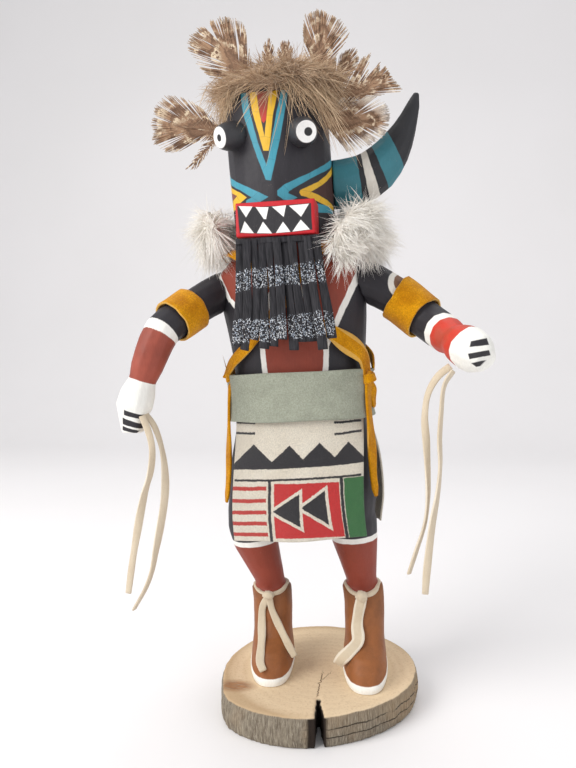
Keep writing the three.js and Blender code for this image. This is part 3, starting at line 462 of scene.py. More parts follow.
def log_finish():
    wood = Finish("log_wood", Specular_IOR_Level=0.25)
    place = wood.place()
    x, y, z = wood.parts(wood.stretched(place, (1000, 1000, 1000)))
    drift = wood.grain(place, 24, 2)
    cx, cy = x - 1, y + 3
    radius = (cx * cx + cy * cy).curve("SQRT")
    turn = cy.curve("ARCTAN2", cx)
    rings = (radius * 1.25 + drift * 9).curve("SINE")
    rings = wood.ranged(rings, -1, 1) * wood.grain(place, 60, 2)
    pores = wood.grain(place, 900, 4, 0.7)
    saw = wood.grain(wood.stretched(place, (60, 900, 60), (0, 0, 0.5)), 1, 3, 0.7)
    top = wood.mixed(rings * 0.28, LOG_TAN, rgb(188, 152, 112))
    top = wood.mixed(wood.ranged(wood.grain(place, 14, 3), 0.35, 0.7) * 0.6, top, rgb(230, 208, 174))
    top = wood.mixed(wood.ranged(pores, 0.5, 0.75) * 0.35, top, rgb(150, 112, 76))
    rim_share = wood.ranged(radius + drift * 4, 50, 55)
    top = wood.mixed(rim_share * 0.55, top, rgb(170, 138, 100))
    kx, ky = (x + 42) * 0.8, (y + 30) * 1.5
    knot_distance = (kx * kx + ky * ky).curve("SQRT") + drift * 8
    streaks = wood.grain(wood.stretched(place, (150, 900, 60), (0, 0, 0.15)), 1, 3, 0.6)
    knot = wood.ranged(knot_distance, 8, 14, 1, 0) * wood.ranged(streaks, 0.3, 0.5, 0.35, 1)
    knot_color = wood.mixed(wood.ranged(streaks, 0.4, 0.6), rgb(112, 70, 46), rgb(168, 118, 78))
    top = wood.mixed(knot * 0.85, top, knot_color)
    jag = wood.grain(wood.spot(y=y * 0.35), 1, 3, 0.7) * 5 - 2.5
    crack = wood.ranged(abs(x - 0.6 - jag), 0.1, 0.4, 1, 0) * wood.ranged(y, -35, -33, 0, 1)
    crack = crack * wood.ranged(y, -12, -6, 1, 0)
    branch = wood.ranged(abs(x - 3.4 - jag - (y + 12) * 0.4), 0.08, 0.3, 1, 0)
    branch = branch * wood.ranged(y, -22, -20, 0, 1) * wood.ranged(y, -10, -6, 0.7, 0)
    top = wood.mixed(crack | branch, top, rgb(86, 58, 40))
    fibres = wood.grain(wood.spot(turn * 60, z * 0.14, radius * 0.02), 1, 4, 0.7)
    fine = wood.grain(wood.spot(turn * 190, z * 0.22), 1, 3, 0.7)
    side = wood.mixed(wood.ranged(fibres, 0.35, 0.68), rgb(104, 92, 78), rgb(158, 148, 130))
    side = wood.mixed(wood.ranged(fine, 0.52, 0.72), side, rgb(190, 180, 164))
    side = wood.mixed(wood.ranged(fine, 0.42, 0.3), side, rgb(70, 60, 52))
    side = wood.mixed(wood.ranged(wood.grain(place, 30, 2), 0.5, 0.75) * 0.5, side, rgb(176, 146, 108))
    wander = wood.grain(wood.spot(turn * 3), 1.5, 2) * 2.2
    broken = wood.ranged(wood.grain(wood.spot(turn * 5, z), 1, 2), 0.36, 0.46)
    for height in (9.4, 5.2):
        seam = wood.ranged(abs(z - height - wander + 1.1), 0.12, 0.5, 1, 0) * broken
        side = wood.mixed(seam * wood.ranged(x, -6, 8), side, rgb(58, 48, 42))
    _, _, facing_up = wood.parts(wood.node("ShaderNodeNewGeometry", out="Normal"))
    on_top = wood.ranged(facing_up, 0.6, 0.85)
    # Painted shade: the walls down inside the crack are darkened nearly to black, standing for the shade that
    # falls into it.
    deep = wood.ranged(abs(x - 3), 5.5, 4.0) * wood.ranged(y, -20, -25) * wood.ranged(radius, 52.5, 51)
    deep = deep * wood.ranged(facing_up, 0.6, 0.4)
    side = wood.mixed(deep, side, wood.mixed(fibres, rgb(20, 17, 15), rgb(56, 43, 34)))
    color = wood.mixed(on_top, side, top)
    height = wood.mixed(on_top, fibres * 1.6 + fine, pores * 0.3 + saw * 0.45 + rings * 0.15)
    return wood.shine(Base_Color=color, Roughness=wood.ranged(pores, 0.2, 0.8, 0.7, 0.92),
                      Normal=wood.bumps(height, 0.0004, 0.9))


slab.data.materials.append(log_finish())


# Body: torso, legs and boots carved from one block of root wood, sanded, and painted by hand with
# matt paints: black, with a red-brown yoke and belly edged in white, red-brown legs and tan boots.
LEAN = math.radians(4.1)
FIGURE_X = -3.6
ANKLE = 45.0
BODY_FOOT = 15.3
BODY_HEIGHT = 235.0
HEAD_FOOT = BODY_FOOT + 0.985 * BODY_HEIGHT + 0.3
BLACK_PAINT = rgb(45, 43, 48)
WHITE_PAINT = rgb(238, 236, 230)
RED_BROWN = rgb(140, 62, 46)
BOOT_TAN = rgb(148, 90, 49)
RIM_DIP = 2.6


def smooth_step(value, low, high):
    t = min(max((value - low) / (high - low), 0), 1)
    return t * t * (3 - 2 * t)


def sway(z):
    hips = -2.7 * np.exp(-((z - BODY_FOOT - 0.37 * BODY_HEIGHT) / 32) ** 2)
    return hips + 1.8 * np.exp(-((z - BODY_FOOT - 0.765 * BODY_HEIGHT) / 30) ** 2)


def leaned(points):
    """The upright figure's points, in millimetres, as they stand in the leaning figure."""
    p = np.asarray(points, float).reshape(-1, 3)
    rise = p[:, 2] - ANKLE
    share = np.clip(rise / 20, 0, 1)
    share = share * share * (3 - 2 * share)
    turn = LEAN * share
    across = p[:, 0] + sway(p[:, 2]) * share
    return np.stack([FIGURE_X + across * np.cos(turn) - rise * np.sin(turn), p[:, 1],
                     ANKLE + across * np.sin(turn) + rise * np.cos(turn)], 1)


def upright(points):
    """The way back: leaning points as they would stand in the upright figure."""
    q = np.asarray(points, float).reshape(-1, 3)
    p = q.copy()
    for _ in range(25):
        p += q - leaned(p)
    return p


def note_places(mesh, name, values):
    """Keeps a place for each vertex on the mesh, for its paint to be laid out by."""
    layer = mesh.attributes.new(name, "FLOAT_VECTOR", "POINT")
    layer.data.foreach_set("vector", np.asarray(values, np.float32).ravel())


def mesh_points(mesh):
    return triples(mesh.vertices, "co")


def wobbled(finish, places, amount=0.5):
    """Places as an unsteady hand would paint them."""
    shake = finish.grain(places, 0.16, 3, 0.6, out="Color")
    middle = finish.node("ShaderNodeVectorMath", shake, (0.5, 0.5, 0.5), operation="SUBTRACT")
    return finish.node("ShaderNodeVectorMath", middle, (2 * amount,) * 3, places, operation="MULTIPLY_ADD")


def patch(x, y, corners):
    """How far a place is outside a convex painted patch, in millimetres, below zero inside it."""
    area = sum(a[0] * b[1] - b[0] * a[1] for a, b in zip(corners, corners[1:] + corners[:1]))
    outside = None
    for a, b in zip(corners, corners[1:] + corners[:1]):
        length = math.hypot(b[0] - a[0], b[1] - a[1])
        nx, ny = (b[1] - a[1]) / length, (a[0] - b[0]) / length
        if area < 0:
            nx, ny = -nx, -ny
        plane = x.scaled_plus(nx, y.scaled_plus(ny, -(nx * a[0] + ny * a[1])))
        outside = plane if outside is None else outside | plane
    return outside


def patches(x, y, groups):
    """How far a place is outside the nearest of several patches."""
    outside = patch(x, y, groups[0])
    for corners in groups[1:]:
        outside = outside & patch(x, y, corners)
    return outside


def stroke(start, end, width):
    """The corners of a painted stroke from start to end."""
    length = math.hypot(end[0] - start[0], end[1] - start[1])
    sx, sy = -(end[1] - start[1]) / length * width / 2, (end[0] - start[0]) / length * width / 2
    return [(start[0] + sx, start[1] + sy), (end[0] + sx, end[1] + sy),
            (end[0] - sx, end[1] - sy), (start[0] - sx, start[1] - sy)]


def band(*points):
    """The four-sided patches between pairs of points down a band's two edges."""
    return [[*points[i:i + 2], points[i + 3], points[i + 2]] for i in range(0, len(points) - 2, 2)]


def painted(finish, outside, soft=0.3):
    """1 inside a painted patch and 0 outside it."""
    return finish.ranged(outside, soft / 2, -soft / 2)


def brushed(name, shake, gloss=0.35, **constants):
    """A new paint, with the upright places it is laid out by and the same places as a hand paints them."""
    paint = Finish(name, Specular_IOR_Level=gloss, **constants)
    places = paint.attribute("upright")
    return (paint, places, *paint.parts(wobbled(paint, places, shake)))


def hand_painted(finish, color, places):
    """Matt brushed paint: its colour drifts, the brush leaves fine ridges, and high spots are rubbed."""
    drift = finish.grain(places, 0.05, 3, 0.6)
    brush = finish.grain(finish.stretched(places, (1.6, 1.6, 0.22)), 1, 3, 0.6)
    dust = finish.grain(places, 1.4, 3, 0.7)
    lit = finish.node("ShaderNodeHueSaturation", named={
        "Color": color, "Value": finish.ranged(drift + brush * 0.5, 0.45, 1.05, 0.86, 1.14)})
    rubbed = finish.mixed(finish.ranged(dust, 0.66, 0.8) * 0.35, lit, rgb(176, 160, 140))
    lumps = finish.grain(places, 0.11, 2)
    height = brush * 0.25 + dust * 0.12 + lumps * 1.2
    return finish.shine(Base_Color=rubbed, Roughness=finish.ranged(drift + dust * 0.4, 0.4, 1.0, 0.42, 0.66),
                        Normal=finish.bumps(height, 0.00045, 0.8))


BOOT_HEIGHT, BOOT_WIDTH, FOOT_LENGTH = 43.0, 24.5, 47.6
BOOT_X, BOOT_Y = 26, 7
SHAFT_RADIUS = BOOT_WIDTH / 2 - 1
FOOT_TURN = {-1: 8.0, 1: 4.5}
BOOT_ROWS = np.array([[0, 0.96, 1, 1], [0.051, 1.02, 1, 1], [0.09, 0.97, 0.965, 0.97], [0.2, 0.95, 0.9, 0.96],
                      [0.32, 0.9, 0.68, 0.95], [0.42, 0.88, 0.36, 0.96], [0.58, 0.89, 0.12, 0.97],
                      [0.8, 0.92, 0.04, 0.98], [1, 0.95, 0, 0.98]])


def blunt(c, s, reach):
    """How much further out a toe is than a plain oval would be."""
    power = 2 + 0.4 * reach
    return np.where(s < 0, (abs(c) ** power + abs(s) ** power) ** (-1 / power), 1)


def boot_rows(rise):
    return [np.interp(rise, BOOT_ROWS[:, 0], BOOT_ROWS[:, k]) for k in (1, 2, 3)]


def boot_place(side, x, y):
    """A place beside a boot's own middle, moved to where that boot stands."""
    a = math.radians(FOOT_TURN[side])
    return x * math.cos(a) - y * math.sin(a) + side * BOOT_X, x * math.sin(a) + y * math.cos(a) + BOOT_Y


def boot_point(side, turn, rise, off):
    width, reach, heel = boot_rows(rise)
    c, s = math.cos(turn), math.sin(turn)
    forward = SHAFT_RADIUS + (FOOT_LENGTH - 2 * SHAFT_RADIUS) * reach + off
    x = (BOOT_WIDTH / 2 * width + off) * math.copysign(abs(c) ** (1 - 0.14 * reach), c)
    y = s * forward if s < 0 else s * (SHAFT_RADIUS * heel + off)
    place = boot_place(side, x * blunt(c, s, reach), y * blunt(c, s, reach))
    dip = RIM_DIP * max(0, -s) ** 2 * smooth_step(rise, 0.75, 1)
    return Vector((*place, BODY_FOOT + rise * BOOT_HEIGHT - dip))


def round_boots(points):
    """Draws the boots' sides out to their smooth rounded outline."""
    for side in (-1, 1):
        a = math.radians(FOOT_TURN[side])
        dx, dy = points[:, 0] - side * BOOT_X, points[:, 1] - BOOT_Y
        x, y = dx * math.cos(a) + dy * math.sin(a), dy * math.cos(a) - dx * math.sin(a)
        rise = (points[:, 2] - BODY_FOOT) / BOOT_HEIGHT
        width, reach, heel = boot_rows(rise)
        half, power = BOOT_WIDTH / 2 * width, 1 - 0.14 * reach
        forward = SHAFT_RADIUS + (FOOT_LENGTH - 2 * SHAFT_RADIUS) * reach
        length = np.where(y < 0, forward, SHAFT_RADIUS * heel)
        c, s = np.sign(x) * (abs(x) / half) ** (1 / power), y / length
        far = np.sqrt(c * c + s * s) + 1e-9
        c, s = c / far, s / far
        out = blunt(c, s, reach)
        share = np.clip((0.8 - rise) / 0.15, 0, 1) * ((far > 0.78) & (far < 1.25) & (points[:, 0] * side > 0))
        x += (half * np.sign(c) * abs(c) ** power * out - x) * share
        y += (length * s * out - y) * share
        placed = boot_place(side, x, y)
        mine = share > 0
        points[mine, 0], points[mine, 1] = placed[0][mine], placed[1][mine]
    return points


def carved_piece(name, node, grain, rounds, shaped=None):
    mesh = refined_copy(node, grain, rounds)
    points = upright(mesh_points(mesh))
    if shaped:
        points = shaped(points)
        mesh.vertices.foreach_set("co", leaned(points).ravel())
    note_places(mesh, "upright", points)
    return set_piece(name, mesh, stands_for=[node])


body = carved_piece("carved_body", "body", 1.15, 10, round_boots)


def body_paint():
    paint, places, x, y, z = brushed("body_paint", 0.45)
    front = paint.ranged(y, 1.0, -1.0)
    yoke_lines = [[(-42, 243.5), (-39.5, 243.5), (-30, 218.6), (-32.4, 218.2)],
                  [(-32.3, 218.8), (-30, 219.8), (-13.9, 199), (-16.4, 195.9)],
                  [(43.5, 240), (47.2, 240), (24.1, 199.8), (21.2, 200.6)],
                  [(21.2, 201.2), (24.1, 200.2), (18.2, 189), (15.6, 190)]]
    yoke = patch(x, z, [(-42, 250), (-41, 243), (-31.6, 218.6), (-15, 196.5), (15.6, 190), (22.5, 200.4),
                        (45, 240), (46, 250)])
    ex, ez = x - 0.8, z - 189
    oval = ((ex * ex) / 16.6 ** 2 + (ez * ez) / 34 ** 2).curve("SQRT") * 16.6 - 16.6
    white = painted(paint, patches(x, z, yoke_lines) & (abs(oval) - 1.4))
    color = paint.mixed(painted(paint, (yoke & oval)) * front, BLACK_PAINT, RED_BROWN)
    color = paint.mixed(white * front, color, WHITE_PAINT)
    hem = 86.2
    on_leg = paint.ranged(z, hem + 0.2, hem - 0.2)
    color = paint.mixed(on_leg, color, RED_BROWN)
    hem_line = painted(paint, abs(z - hem) - 1.5)
    color = paint.mixed(hem_line, color, WHITE_PAINT)
    dip = paint.ranged(y, 7.0, -5.0)
    boot_top = 58.2 - dip * dip * RIM_DIP
    scuffs = paint.ranged(paint.grain(places, 0.12, 4, 0.65), 0.42, 0.75)
    tan = paint.mixed(scuffs * 0.6, BOOT_TAN, rgb(112, 68, 38))
    tan = paint.mixed(paint.ranged(z, 44, 58) * paint.ranged(scuffs, 0, 1, 0.3, 0.6), tan, rgb(92, 60, 38))
    color = paint.mixed(paint.ranged(z - boot_top, 0.15, -0.15), color, tan)
    color = paint.mixed(paint.ranged(z, 19.2, 18.8), color, WHITE_PAINT)
    return hand_painted(paint, color, places)


body.data.materials.append(body_paint())


# Head: a drum of the same wood with a domed crown, painted black. A blue-green and a yellow wedge run
# down the brow round a red one, and arrowheads in the same colours point in from both cheeks.
FACE_TEAL = rgb(66, 148, 168)
FACE_YELLOW = rgb(224, 178, 50)
HEAD_RADIUS = 28.0
head = carved_piece("carved_head", "head", 0.8, 14)


def face_paint():
    paint, places, hx, hy, hz = brushed("mask_paint", 0.3)
    x = hx.curve("ARCTAN2", -hy) * HEAD_RADIUS
    z = hz - HEAD_FOOT
    teal = [
        *band((-15.5, 76), (-10.7, 75), (-13.5, 63.6), (-9.3, 63.5), (-9.5, 48.9), (-6.1, 48.1), (-5, 33.9),
              (-2.7, 36.8), (-3.7, 29.3), (-1.1, 28.6)),
        *band((8.2, 73), (12, 73), (4.6, 61.5), (8.8, 61.2), (1, 48.4), (5.2, 48), (-1.5, 39.5), (2.3, 38.3)),
        *band((50, 46.8), (50, 42.7), (19.7, 31.6), (20.1, 28.8), (5.3, 25.5), (7.9, 22.4)),
        *band((-48, 45.9), (-48, 41.7), (-20.8, 31.3), (-21.4, 27.9), (-8.5, 24.1), (-12.7, 22.2),
              (-3.1, 20.6), (-8.2, 18.6)),
        [(-2.7, 36.8), (-1.5, 39.5), (2.3, 38.3), (-1, 28.6), (-3.7, 29.3)],
        [(5.3, 25.5), (7.9, 22.4), (7.3, 21.3), (4.4, 18.5), (1.7, 20.9), (1.9, 23.2)],
        [(4.4, 18.4), (7, 21.6), (12.1, 19), (8.5, 17.5)],
        [(22.1, 15.1), (22.8, 16.4), (39.7, 16.6), (39.2, 13.4), (23, 11.9)],
        [(-12.7, 22.3), (-8.2, 18.5), (-17.2, 19.6), (-17, 21.4)],
    ]
    yellow = [
        *band((-9.2, 74.5), (-5.2, 74), (-8, 64.1), (-4.1, 63.3), (-5.1, 50.9), (-2.4, 50.7), (-3.6, 43.8),
              (-0.8, 43.2)),
        *band((1.7, 73), (6.4, 73), (-0.3, 61), (2.8, 60.7), (-2.4, 50.7), (0.8, 49.4), (-3.6, 43.8),
              (-0.8, 43.2)),
        *band((50, 43.2), (50, 39.7), (25.6, 27.9), (28.4, 26.6), (13.8, 22.8), (20.4, 22.3)),
        *band((20.4, 22.1), (17.4, 19.3), (27.7, 20.3), (24.9, 17.3), (42, 17.4), (40, 15)),
        *band((-48, 40.2), (-48, 36.1), (-21.6, 26.7), (-25.7, 26.2), (-16.1, 22.9), (-21.6, 21.5)),
        [(13.8, 22.8), (20.4, 22.3), (18, 19.3), (14.2, 20), (13.3, 21.6)],
        [(-25.7, 25.8), (-21.6, 21.7), (-26, 19.6), (-42, 20.6), (-42, 24.2)],
    ]
    red = [[(-5.1, 74), (1.6, 73), (-0.7, 59.1), (-2.3, 57.4), (-3.4, 59.1)]]
    brown = [[(20.7, 22), (46, 36.7), (42, 18.4)], [(-45, 34.5), (-25.7, 26.2), (-43, 24)]]
    front = paint.ranged(hy, 6.0, 4.0)
    # Painted light and shade: the cheeks' one brown is laid in two copies, lighter on the cheek at -x toward
    # the key light and darker on the cheek at +x.
    cheek_brown_lit_and_shaded = paint.mixed(paint.ranged(hx, -2, 2), rgb(128, 72, 62), rgb(72, 44, 40))
    wedge = paint.mixed(paint.ranged(z, 57, 67), rgb(196, 46, 44), rgb(140, 60, 44))
    color = BLACK_PAINT
    for groups, shade in ((brown, cheek_brown_lit_and_shaded), (teal, FACE_TEAL), (red, wedge), (yellow, FACE_YELLOW)):
        color = paint.mixed(painted(paint, patches(x, z, groups)) * front, color, shade)
    return hand_painted(paint, color, places)


head.data.materials.append(face_paint())


# Mouth: a flat-faced board glued across the foot of the face, its edge painted red, with white teeth
# from above and below on black.
MOUTH_TILT = math.radians(3.4)
MOUTH_TEETH = [
    [(-17.1, 16.1), (-10.2, 15.1), (-13.9, 10.2)], [(-8.6, 14.6), (-2.2, 13.7), (-3.9, 8.1), (-5, 8.3)],
    [(-0.4, 13.7), (6.7, 13.7), (5.1, 8.1)], [(8.2, 13.2), (18.1, 12.9), (13.7, 7.2)],
    [(-17.4, 3), (-10.6, 1.9), (-14.7, 8.4)], [(-9, 1.7), (-1.5, 0.8), (-5.5, 7)],
    [(0.5, 0.7), (7.7, 0.5), (4.5, 5.8)], [(8.8, 0.5), (17.5, 0.5), (13.4, 5.8)],
]
mouth = carved_piece("mouth_board", "mouth_block", 0.55, 4)


def mouth_finish():
    paint, places, x, y, z = brushed("mouth_paint", 0.22, 0.4)
    z = z - HEAD_FOOT
    field = [[(-17.9, 16.3), (-8.7, 14.7), (-8.7, 1.5), (-17.9, 2.8)],
             [(-9.1, 14.7), (5.4, 13.7), (5.2, 0.3), (-9.1, 1.3)],
             [(5, 13.8), (19.1, 13.1), (18.7, 0.2), (5, 0.3)]]
    on_face = paint.ranged(y, -33.2, -33.6)
    color = paint.mixed(painted(paint, patches(x, z, field)) * on_face, rgb(192, 24, 36), rgb(40, 38, 42))
    teeth = painted(paint, patches(x, z, MOUTH_TEETH), 0.25)
    color = paint.mixed(teeth * on_face, color, rgb(246, 244, 240))
    return hand_painted(paint, color, places)


mouth.data.materials.append(mouth_finish())


# Eyes: two turned balls on the brow, painted black, each with a flat white disc and a black dot that
# looks its own way.
EYE_BALL = 7.4
EYE_LENGTH = 9.4
EYE_DISC = 5.1
EYES = {"eye_right": (-40.5, -42, 14, 0.6195, (-0.5, 0, 1.75)),
        "eye_left": (33.5, 22, 19, 0.576, (0.95, 0, 2.05))}
EYE_OUTLINE = [(7.32, 2.2), (7.12, 4), (6.75, 5.6), (6.25, 7.2), (5.75, 8.4), (5.35, 9.1), (5.0, 9.38),
               (4.7, 9.32), (4.4, 9.22), (0, 9.22)]


def eye_finish(name, place, look, dip, dot):
    paint = Finish(name, Specular_IOR_Level=0.5, Coat_Weight=0.15, Coat_Roughness=0.3)
    places = paint.attribute("upright")
    side = Vector((math.cos(look), math.sin(look), 0))
    ahead = Vector((math.sin(look) * math.cos(dip), -math.cos(look) * math.cos(dip), -math.sin(dip)))
    local = paint.node("ShaderNodeVectorMath", wobbled(paint, places, 0.12), tuple(place),
                       operation="SUBTRACT")
    out, across, up = (
        paint.node("ShaderNodeVectorMath", local, tuple(axis), operation="DOT_PRODUCT", out="Value")
        for axis in (ahead, side, side.cross(ahead)))
    dot_x, dot_z, dot_size = dot
    spread = (across * across + up * up).curve("SQRT")
    from_dot = ((across - dot_x) * (across - dot_x) + (up - dot_z) * (up - dot_z)).curve("SQRT")
    on_disc = painted(paint, spread - EYE_DISC - 0.05)
    on_disc = on_disc * paint.ranged(out, EYE_LENGTH - 0.75, EYE_LENGTH - 0.5)
    color = paint.mixed(on_disc, rgb(46, 46, 50), rgb(244, 243, 240))
    color = paint.mixed(painted(paint, from_dot - dot_size, 0.25) * on_disc, color, rgb(24, 24, 26))
    return hand_painted(paint, color, places)


def lean_shape(bm):
    """Leans a shape that was made in the upright figure, and keeps its upright places for its finish."""
    places = np.array([v.co[:] for v in bm.verts])
    moved = leaned(places)
    layer = bm.verts.layers.float_vector.new("upright")
    for i, v in enumerate(bm.verts):
        v[layer] = places[i]
        v.co = moved[i]
    return bm


def turned_eye():
    """A ball drawn out to a flat disc, turned round its own axis, which is z here."""
    bm = bmesh.new()
    turns = [math.radians(a) for a in range(0, 100, 10)]
    outline = [(EYE_BALL * math.sin(a), -EYE_BALL * math.cos(a)) for a in turns] + EYE_OUTLINE
    rows = [bm.verts.new((r, 0, h)) for r, h in outline]
    edges = [bm.edges.new(pair) for pair in zip(rows, rows[1:])]
    bmesh.ops.spin(bm, geom=rows + edges, cent=(0, 0, 0), axis=(0, 0, 1), angle=2 * math.pi, steps=48,
                   use_merge=True)
    bmesh.ops.remove_doubles(bm, verts=bm.verts, dist=0.001)
    bmesh.ops.recalc_face_normals(bm, faces=bm.faces)
    return bm


for name, (azimuth, look, dip, share, dot) in EYES.items():
    a = math.radians(azimuth)
    out = HEAD_RADIUS + 1.5
    place = Vector((out * math.sin(a), -out * math.cos(a), HEAD_FOOT + share * 89))
    look, dip = math.radians(look), math.radians(dip)
    ball = turned_eye()
    aim = Matrix.Rotation(look, 4, "Z") @ Matrix.Rotation(math.pi / 2 + dip, 4, "X")
    bmesh.ops.transform(ball, verts=ball.verts, matrix=Matrix.Translation(place) @ aim)
    finish = eye_finish(name + "_paint", place, look, dip, dot)
    set_piece(name + "_ball", lean_shape(ball), finish, stands_for=[name])


# Horn: one thick horn carved apart and glued to the side of the head, painted blue-green with a black
# tip and a white band between two black ones.
horn = carved_piece("carved_horn", "horn", 0.6, 6)


def horn_finish():
    paint, places, x, _, z = brushed("horn_paint", 0.5, 0.4)
    teal = rgb(58, 122, 134)
    color = teal

    def past(low, high):
        """1 beyond the slanting line that crosses the horn from its lower edge to its upper one."""
        (ax, az), (bx, bz) = low, high
        length = math.hypot(bx - ax, bz - az)
        nx, nz = (bz - az) / length, (ax - bx) / length
        return paint.ranged(x.scaled_plus(nx, z.scaled_plus(nz, -(nx * ax + nz * az))), -0.15, 0.15)

    bands = [((42.9, 271.3), (41.5, 288.8), rgb(38, 38, 42)),
             ((46.7, 268.6), (44, 289.6), rgb(214, 208, 198)),
             ((52.1, 271), (47.7, 289.4), rgb(38, 38, 42)),
             ((56.6, 275.4), (51.1, 291.8), teal),
             ((65, 286.8), (60.3, 298.7), rgb(40, 40, 44))]
    for low, high, shade in bands:
        color = paint.mixed(past(low, high), color, shade)
    return hand_painted(paint, color, places)


horn.data.materials.append(horn_finish())


# Arms: bent arms with closed fists, painted black to the elbow, then a white ring, a red-brown forearm
# and a white hand with three black bars for its fingers. Each has a touch of paint beside its armband.
SHOULDER_HEIGHT = BODY_FOOT + 0.9 * BODY_HEIGHT
SHOULDERS = {"right": (-32.5, -1, SHOULDER_HEIGHT), "left": (32.5, -1, SHOULDER_HEIGHT)}
ARM_BENDS = {
    "right": [(0, 0, 0), (-6.5, -5, -2), (-22, -26, -14), (-30, -37, -22), (-34.5, -40.5, -31),
              (-42, -42, -49), (-45.5, -43, -60), (-46.5, -43.5, -72)],
    "left": [(0, 0, 0), (9.5, 0, -4), (25, -1.5, -15), (36, -3, -26), (41.5, -9, -31.5), (49.5, -28, -40),
             (54.5, -37, -44), (60.5, -46, -50)],
}
HAND_BARS = {
    "right": [[(-80, 166.9), (-71.4, 163.4), (-71.8, 161.2), (-80.4, 164.3)],
              [(-81.4, 163.1), (-72.2, 158.9), (-73, 156.6), (-81.8, 159.8)],
              [(-82, 158.9), (-74, 155.8), (-75.5, 154.5), (-82.4, 156.8)]],
    "left": [[(86.3, 186.1), (93.6, 187), (94.2, 183.9), (85.6, 183.6)],
             [(84.8, 180.7), (94, 181.6), (94.8, 179.1), (85.4, 178.1)],
             [(86.2, 176.3), (95, 177.4), (94.4, 174.9), (88.4, 174.4)]],
}
ELBOW = {"right": (52.6, 56.6), "left": (60.0, 66.4)}
WRIST = {"right": 80.4, "left": 86.2}
arm_lines = {side: along_points([np.add(SHOULDERS[side], bend) for bend in bends], 220)
             for side, bends in ARM_BENDS.items()}


def beside_line(points, line, length):
    """Places beside a line: how far along it, and how far in front of it and above it."""
    steps = len(line) - 1
    ahead = np.gradient(line, axis=0)
    ahead /= np.linalg.norm(ahead, axis=1)[:, None]
    near = np.empty(len(points), int)
    for first in range(0, len(points), 4000):
        gaps = points[first:first + 4000, None, :] - line[None, :, :]
        near[first:first + 4000] = (gaps ** 2).sum(2).argmin(1)
    gap = points - line[near]
    front = np.array([0, -1, 0]) - ahead[near] * -ahead[near][:, 1:2]
    front /= np.linalg.norm(front, axis=1)[:, None]
    above = np.cross(ahead[near], front)
    above *= np.sign(above[:, 2:3])
    past = (gap * ahead[near]).sum(1)
    return np.stack([near * length / steps + past, (gap * front).sum(1), (gap * above).sum(1)], 1)


def arm_finish(side):
    paint, places, x, _, z = brushed("arm_" + side + "_paint", 0.35)
    along, front, above = paint.parts(wobbled(paint, paint.attribute("reach"), 0.45))
    worn = paint.ranged(paint.grain(places, 0.07, 2), 0.4, 0.65)
    red = paint.mixed(worn, rgb(138, 66, 52), rgb(156, 76, 60))
    if side == "left":
        worn = paint.ranged(paint.grain(places, 0.09, 2), 0.4, 0.6)
        red = paint.mixed(worn, rgb(182, 74, 56), rgb(200, 60, 44))
    color = BLACK_PAINT
    for start, shade in zip((*ELBOW[side], WRIST[side]), (WHITE_PAINT, red, rgb(240, 239, 233))):
        color = paint.mixed(paint.ranged(along, start - 0.15, start + 0.15), color, shade)
    if side == "right":
        touch = patch(along, above, [(26.5, 12), (29.4, 2), (33.5, 1), (31.5, 12)])
        color = paint.mixed(painted(paint, touch) * paint.ranged(front, 0, 1), color, WHITE_PAINT)
    else:
        ax, az = (along - 27.5), (above - 9.5)
        round_ring = (ax * ax + az * az * 0.62).curve("SQRT")
        color = paint.mixed(painted(paint, round_ring - 8.3), color, rgb(226, 222, 214))
        color = paint.mixed(painted(paint, round_ring - 5.6), color, rgb(118, 84, 62))
    bars = painted(paint, patches(x, z, HAND_BARS[side]))
    color = paint.mixed(bars * paint.ranged(front, 0, 1), color, rgb(44, 42, 46))
    if side == "right":
        glue = paint.node("ShaderNodeVectorMath", places, (-76.5, -55.5, 171.5), operation="DISTANCE",
                          out="Value")
        color = paint.mixed(paint.ranged(glue, 2.6, 1.6) * 0.5, color, rgb(222, 200, 140))
    return hand_painted(paint, color, places)


for side in ARM_BENDS:
    arm = carved_piece("carved_arm_" + side, "arm_" + side, 0.7, 8)
    places = upright(mesh_points(arm.data) / MM)
    note_places(arm.data, "reach", beside_line(places, *arm_lines[side]))
    arm.data.materials.append(arm_finish(side))


# Armbands: a strip of mustard suede wound once round each arm above the elbow, its ends lapped behind.
SUEDE_THICKNESS = 1.4
BAND_WIDTH = {"right": 15.5, "left": 19.0}
BAND_MIDDLE = {"right": 0.352, "left": 0.354}
ARM_ROUND = {"right": 9.6, "left": 10.6}
ARM_TAPER = ([0, 0.2, 0.45, 0.56], [1.15, 1.02, 0.96, 0.93])


def shaped_sheet(columns, rows, at, thickness, size=(1, 1)):
    """A sheet of even thickness whose outer face runs through at(across, down), both from 0 to 1."""
    def lay(x, y):
        across, down = x + 0.5, y + 0.5
        return at(across, down), (across * size[0], down * size[1])

    return laid_sheet(columns, rows, lay, thickness, SHEET_WEAR, False)


def tinted(color, *shares):
    return (*(value * share for value, share in zip(color, shares)), 1)


